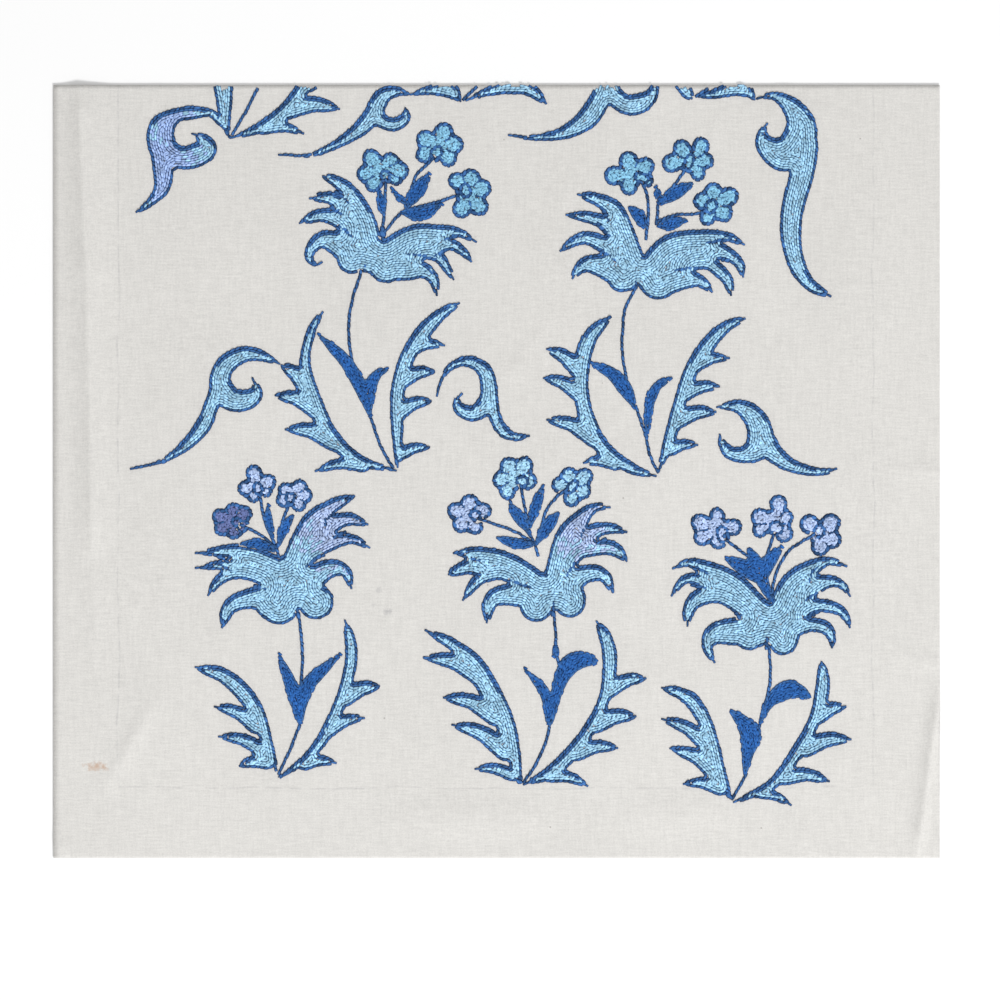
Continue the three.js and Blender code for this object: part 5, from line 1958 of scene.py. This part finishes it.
        shader.link(place, seeds.inputs["Vector"])
        few = shader.math("GREATER_THAN", seeds.outputs["Color"], self.HUSK_LIMIT)
        dot = shader.ramp(seeds.outputs["Distance"], *self.HUSK_SIZE, self.HUSK_STRENGTH, 0.0)
        return shader.mix(shader.product(dot, few), colour, self.SEED_HUSK)


@dataclass(frozen=True)
class ThreadFinish:
    """Softly twisted cotton thread, dyed unevenly, showing the painted highlight and shade that the loops carry in
    their colours.

    Attributes:
        roughness: Roughness of the fibre.
        sheen: Share of soft light at the edges.
        gloss: Strength of its gloss, low on cotton.
        relief_strength: How strongly the twisted strands show.
        relief_depth: Their depth in metres.
    """

    roughness: float = 0.55
    sheen: float = 0.04
    gloss: float = 0.12
    relief_strength: float = 0.35
    relief_depth: float = 0.0001

    # Waves a metre of the strands and of the clouds of the dye.
    STRAND_SCALE = 2600
    DYE_SCALE = 90

    # Change of light from strand to strand, painted darker where the strand relief is low and lighter where it is
    # high, and share of light by the clouds of the dye.
    STRAND_PAINTED_LIGHT = (-0.22, 0.2)
    DYE_TONE = (0.9, 1.1)

    def material(self) -> bpy.types.Material:
        """Builds the material.

        Returns:
            The material.
        """
        shader = Shader.named("dyed_cotton_thread_painted_shade")
        place = shader.node("ShaderNodeTexCoord").outputs["Object"]
        # The vertex colours hold the thread's dye with the painted highlight and shade of each loop.
        dye = shader.node("ShaderNodeAttribute", attribute_name="thread").outputs["Color"]
        strand = shader.noise(place, self.STRAND_SCALE)
        cloud = shader.noise(place, self.DYE_SCALE)
        scaled = shader.node("ShaderNodeVectorMath", operation="SCALE")
        shader.link(dye, scaled.inputs[0])
        # The strand noise that sets the relief also paints shade into its low places and light onto its high places.
        light = shader.total(shader.spread(strand, *self.STRAND_PAINTED_LIGHT), shader.spread(cloud, *self.DYE_TONE))
        shader.link(light, scaled.inputs["Scale"])
        shader.link(scaled.outputs[0], shader.surface.inputs["Base Color"])
        shader.surface.inputs["Roughness"].default_value = self.roughness
        shader.surface.inputs["Sheen Weight"].default_value = self.sheen
        shader.surface.inputs["Specular IOR Level"].default_value = self.gloss
        shader.relief(strand, self.relief_strength, self.relief_depth)
        return shader.material


@dataclass(frozen=True)
class FloorFinish:
    """Matt white studio floor.

    Attributes:
        tint: Its colour.
        roughness: Its roughness.
        gloss: Strength of its gloss.
    """

    tint: Colour = (0.93, 0.93, 0.93)
    roughness: float = 0.9
    gloss: float = 0.1

    def material(self) -> bpy.types.Material:
        """Builds the material.

        Returns:
            The material.
        """
        shader = Shader.named("studio_floor")
        shader.surface.inputs["Base Color"].default_value = (*self.tint, 1.0)
        shader.surface.inputs["Roughness"].default_value = self.roughness
        shader.surface.inputs["Specular IOR Level"].default_value = self.gloss
        return shader.material


@dataclass(frozen=True)
class Studio:
    """Floor, soft light and the camera straight over the cloth.

    Attributes:
        centre: Point under the camera, in metres.
        view: Width of what the camera takes in.
        lens: Focal length in millimetres.
        sky: Strength of the light from all round.
        lamp_power: Power of the large lamp in watts.
        lamp_place: Place of the large lamp.
        lamp_size: Side of the large lamp.
        floor_size: Side of the floor.
        floor_drop: How far the floor lies under the cloth.
        cloth_level: Height of the face of the cloth, which the view is measured at.
    """

    centre: Point = (0.0021, -0.0171)
    view: float = 0.6
    lens: float = 120.0
    sky: float = 0.66
    lamp_power: float = 190.0
    lamp_place: tuple[float, float, float] = (1.6, -3.6, 3.2)
    lamp_size: float = 1.2
    floor_size: float = 6.0
    floor_drop: float = 0.0002
    cloth_level: float = 0.002

    def build(self) -> None:
        """Makes the floor, the lights and the camera."""
        self.lay_floor()
        self.light()
        self.set_camera()

    def lay_floor(self) -> None:
        """Lays the floor under the cloth."""
        bpy.ops.object.select_all(action="DESELECT")
        bpy.ops.mesh.primitive_plane_add(size=self.floor_size, location=(0, 0, -self.floor_drop))
        floor = bpy.context.object
        floor.name = "studio_floor"
        floor.data.materials.append(FloorFinish().material())
        floor.select_set(False)

    def light(self) -> None:
        """Lights the scene from all round and from one large lamp."""
        world = bpy.data.worlds.new("soft_studio")
        bpy.context.scene.world = world
        world.use_nodes = True
        background = world.node_tree.nodes["Background"]
        background.inputs["Color"].default_value = (1.0, 1.0, 1.0, 1.0)
        background.inputs["Strength"].default_value = self.sky
        lamp_data = bpy.data.lights.new("window_light", "AREA")
        lamp_data.energy = self.lamp_power
        lamp_data.size = self.lamp_size
        lamp = bpy.data.objects.new("window_light", lamp_data)
        lamp.location = self.lamp_place
        lamp.rotation_euler = (-Vector(self.lamp_place)).to_track_quat("-Z", "Y").to_euler()
        bpy.context.scene.collection.objects.link(lamp)

    def set_camera(self) -> None:
        """Sets the camera straight over the cloth."""
        camera_data = bpy.data.cameras.new("camera")
        camera_data.lens = self.lens
        height = self.view * self.lens / camera_data.sensor_width
        camera = bpy.data.objects.new("camera", camera_data)
        camera.location = (*self.centre, height + self.cloth_level)
        bpy.context.scene.collection.objects.link(camera)
        bpy.context.scene.camera = camera
        bpy.context.scene.view_settings.view_transform = "Standard"


def main() -> None:
    """Builds the cloth and its embroidery and sets them in the studio."""
    logging.basicConfig(level=logging.INFO, format="%(message)s")
    Studio().build()
    cloth = Cloth()
    cotton = CottonFinish().material()
    thread = ThreadFinish().material()
    ground = cloth.build()
    ground.data.materials.append(cotton)
    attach(ground, "root")
    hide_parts("ground_cloth")
    log.info("cotton_ground: %d faces", len(ground.data.polygons))
    rng = np.random.default_rng(HAND_SEED)
    for name, motif in MOTIFS.items():
        piece = Embroidery(name, motif, cloth, rng).build()
        piece.data.materials.append(thread)
        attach(piece, "root")
        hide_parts(f"motif_{name}")


if __name__ == "__main__":
    main()
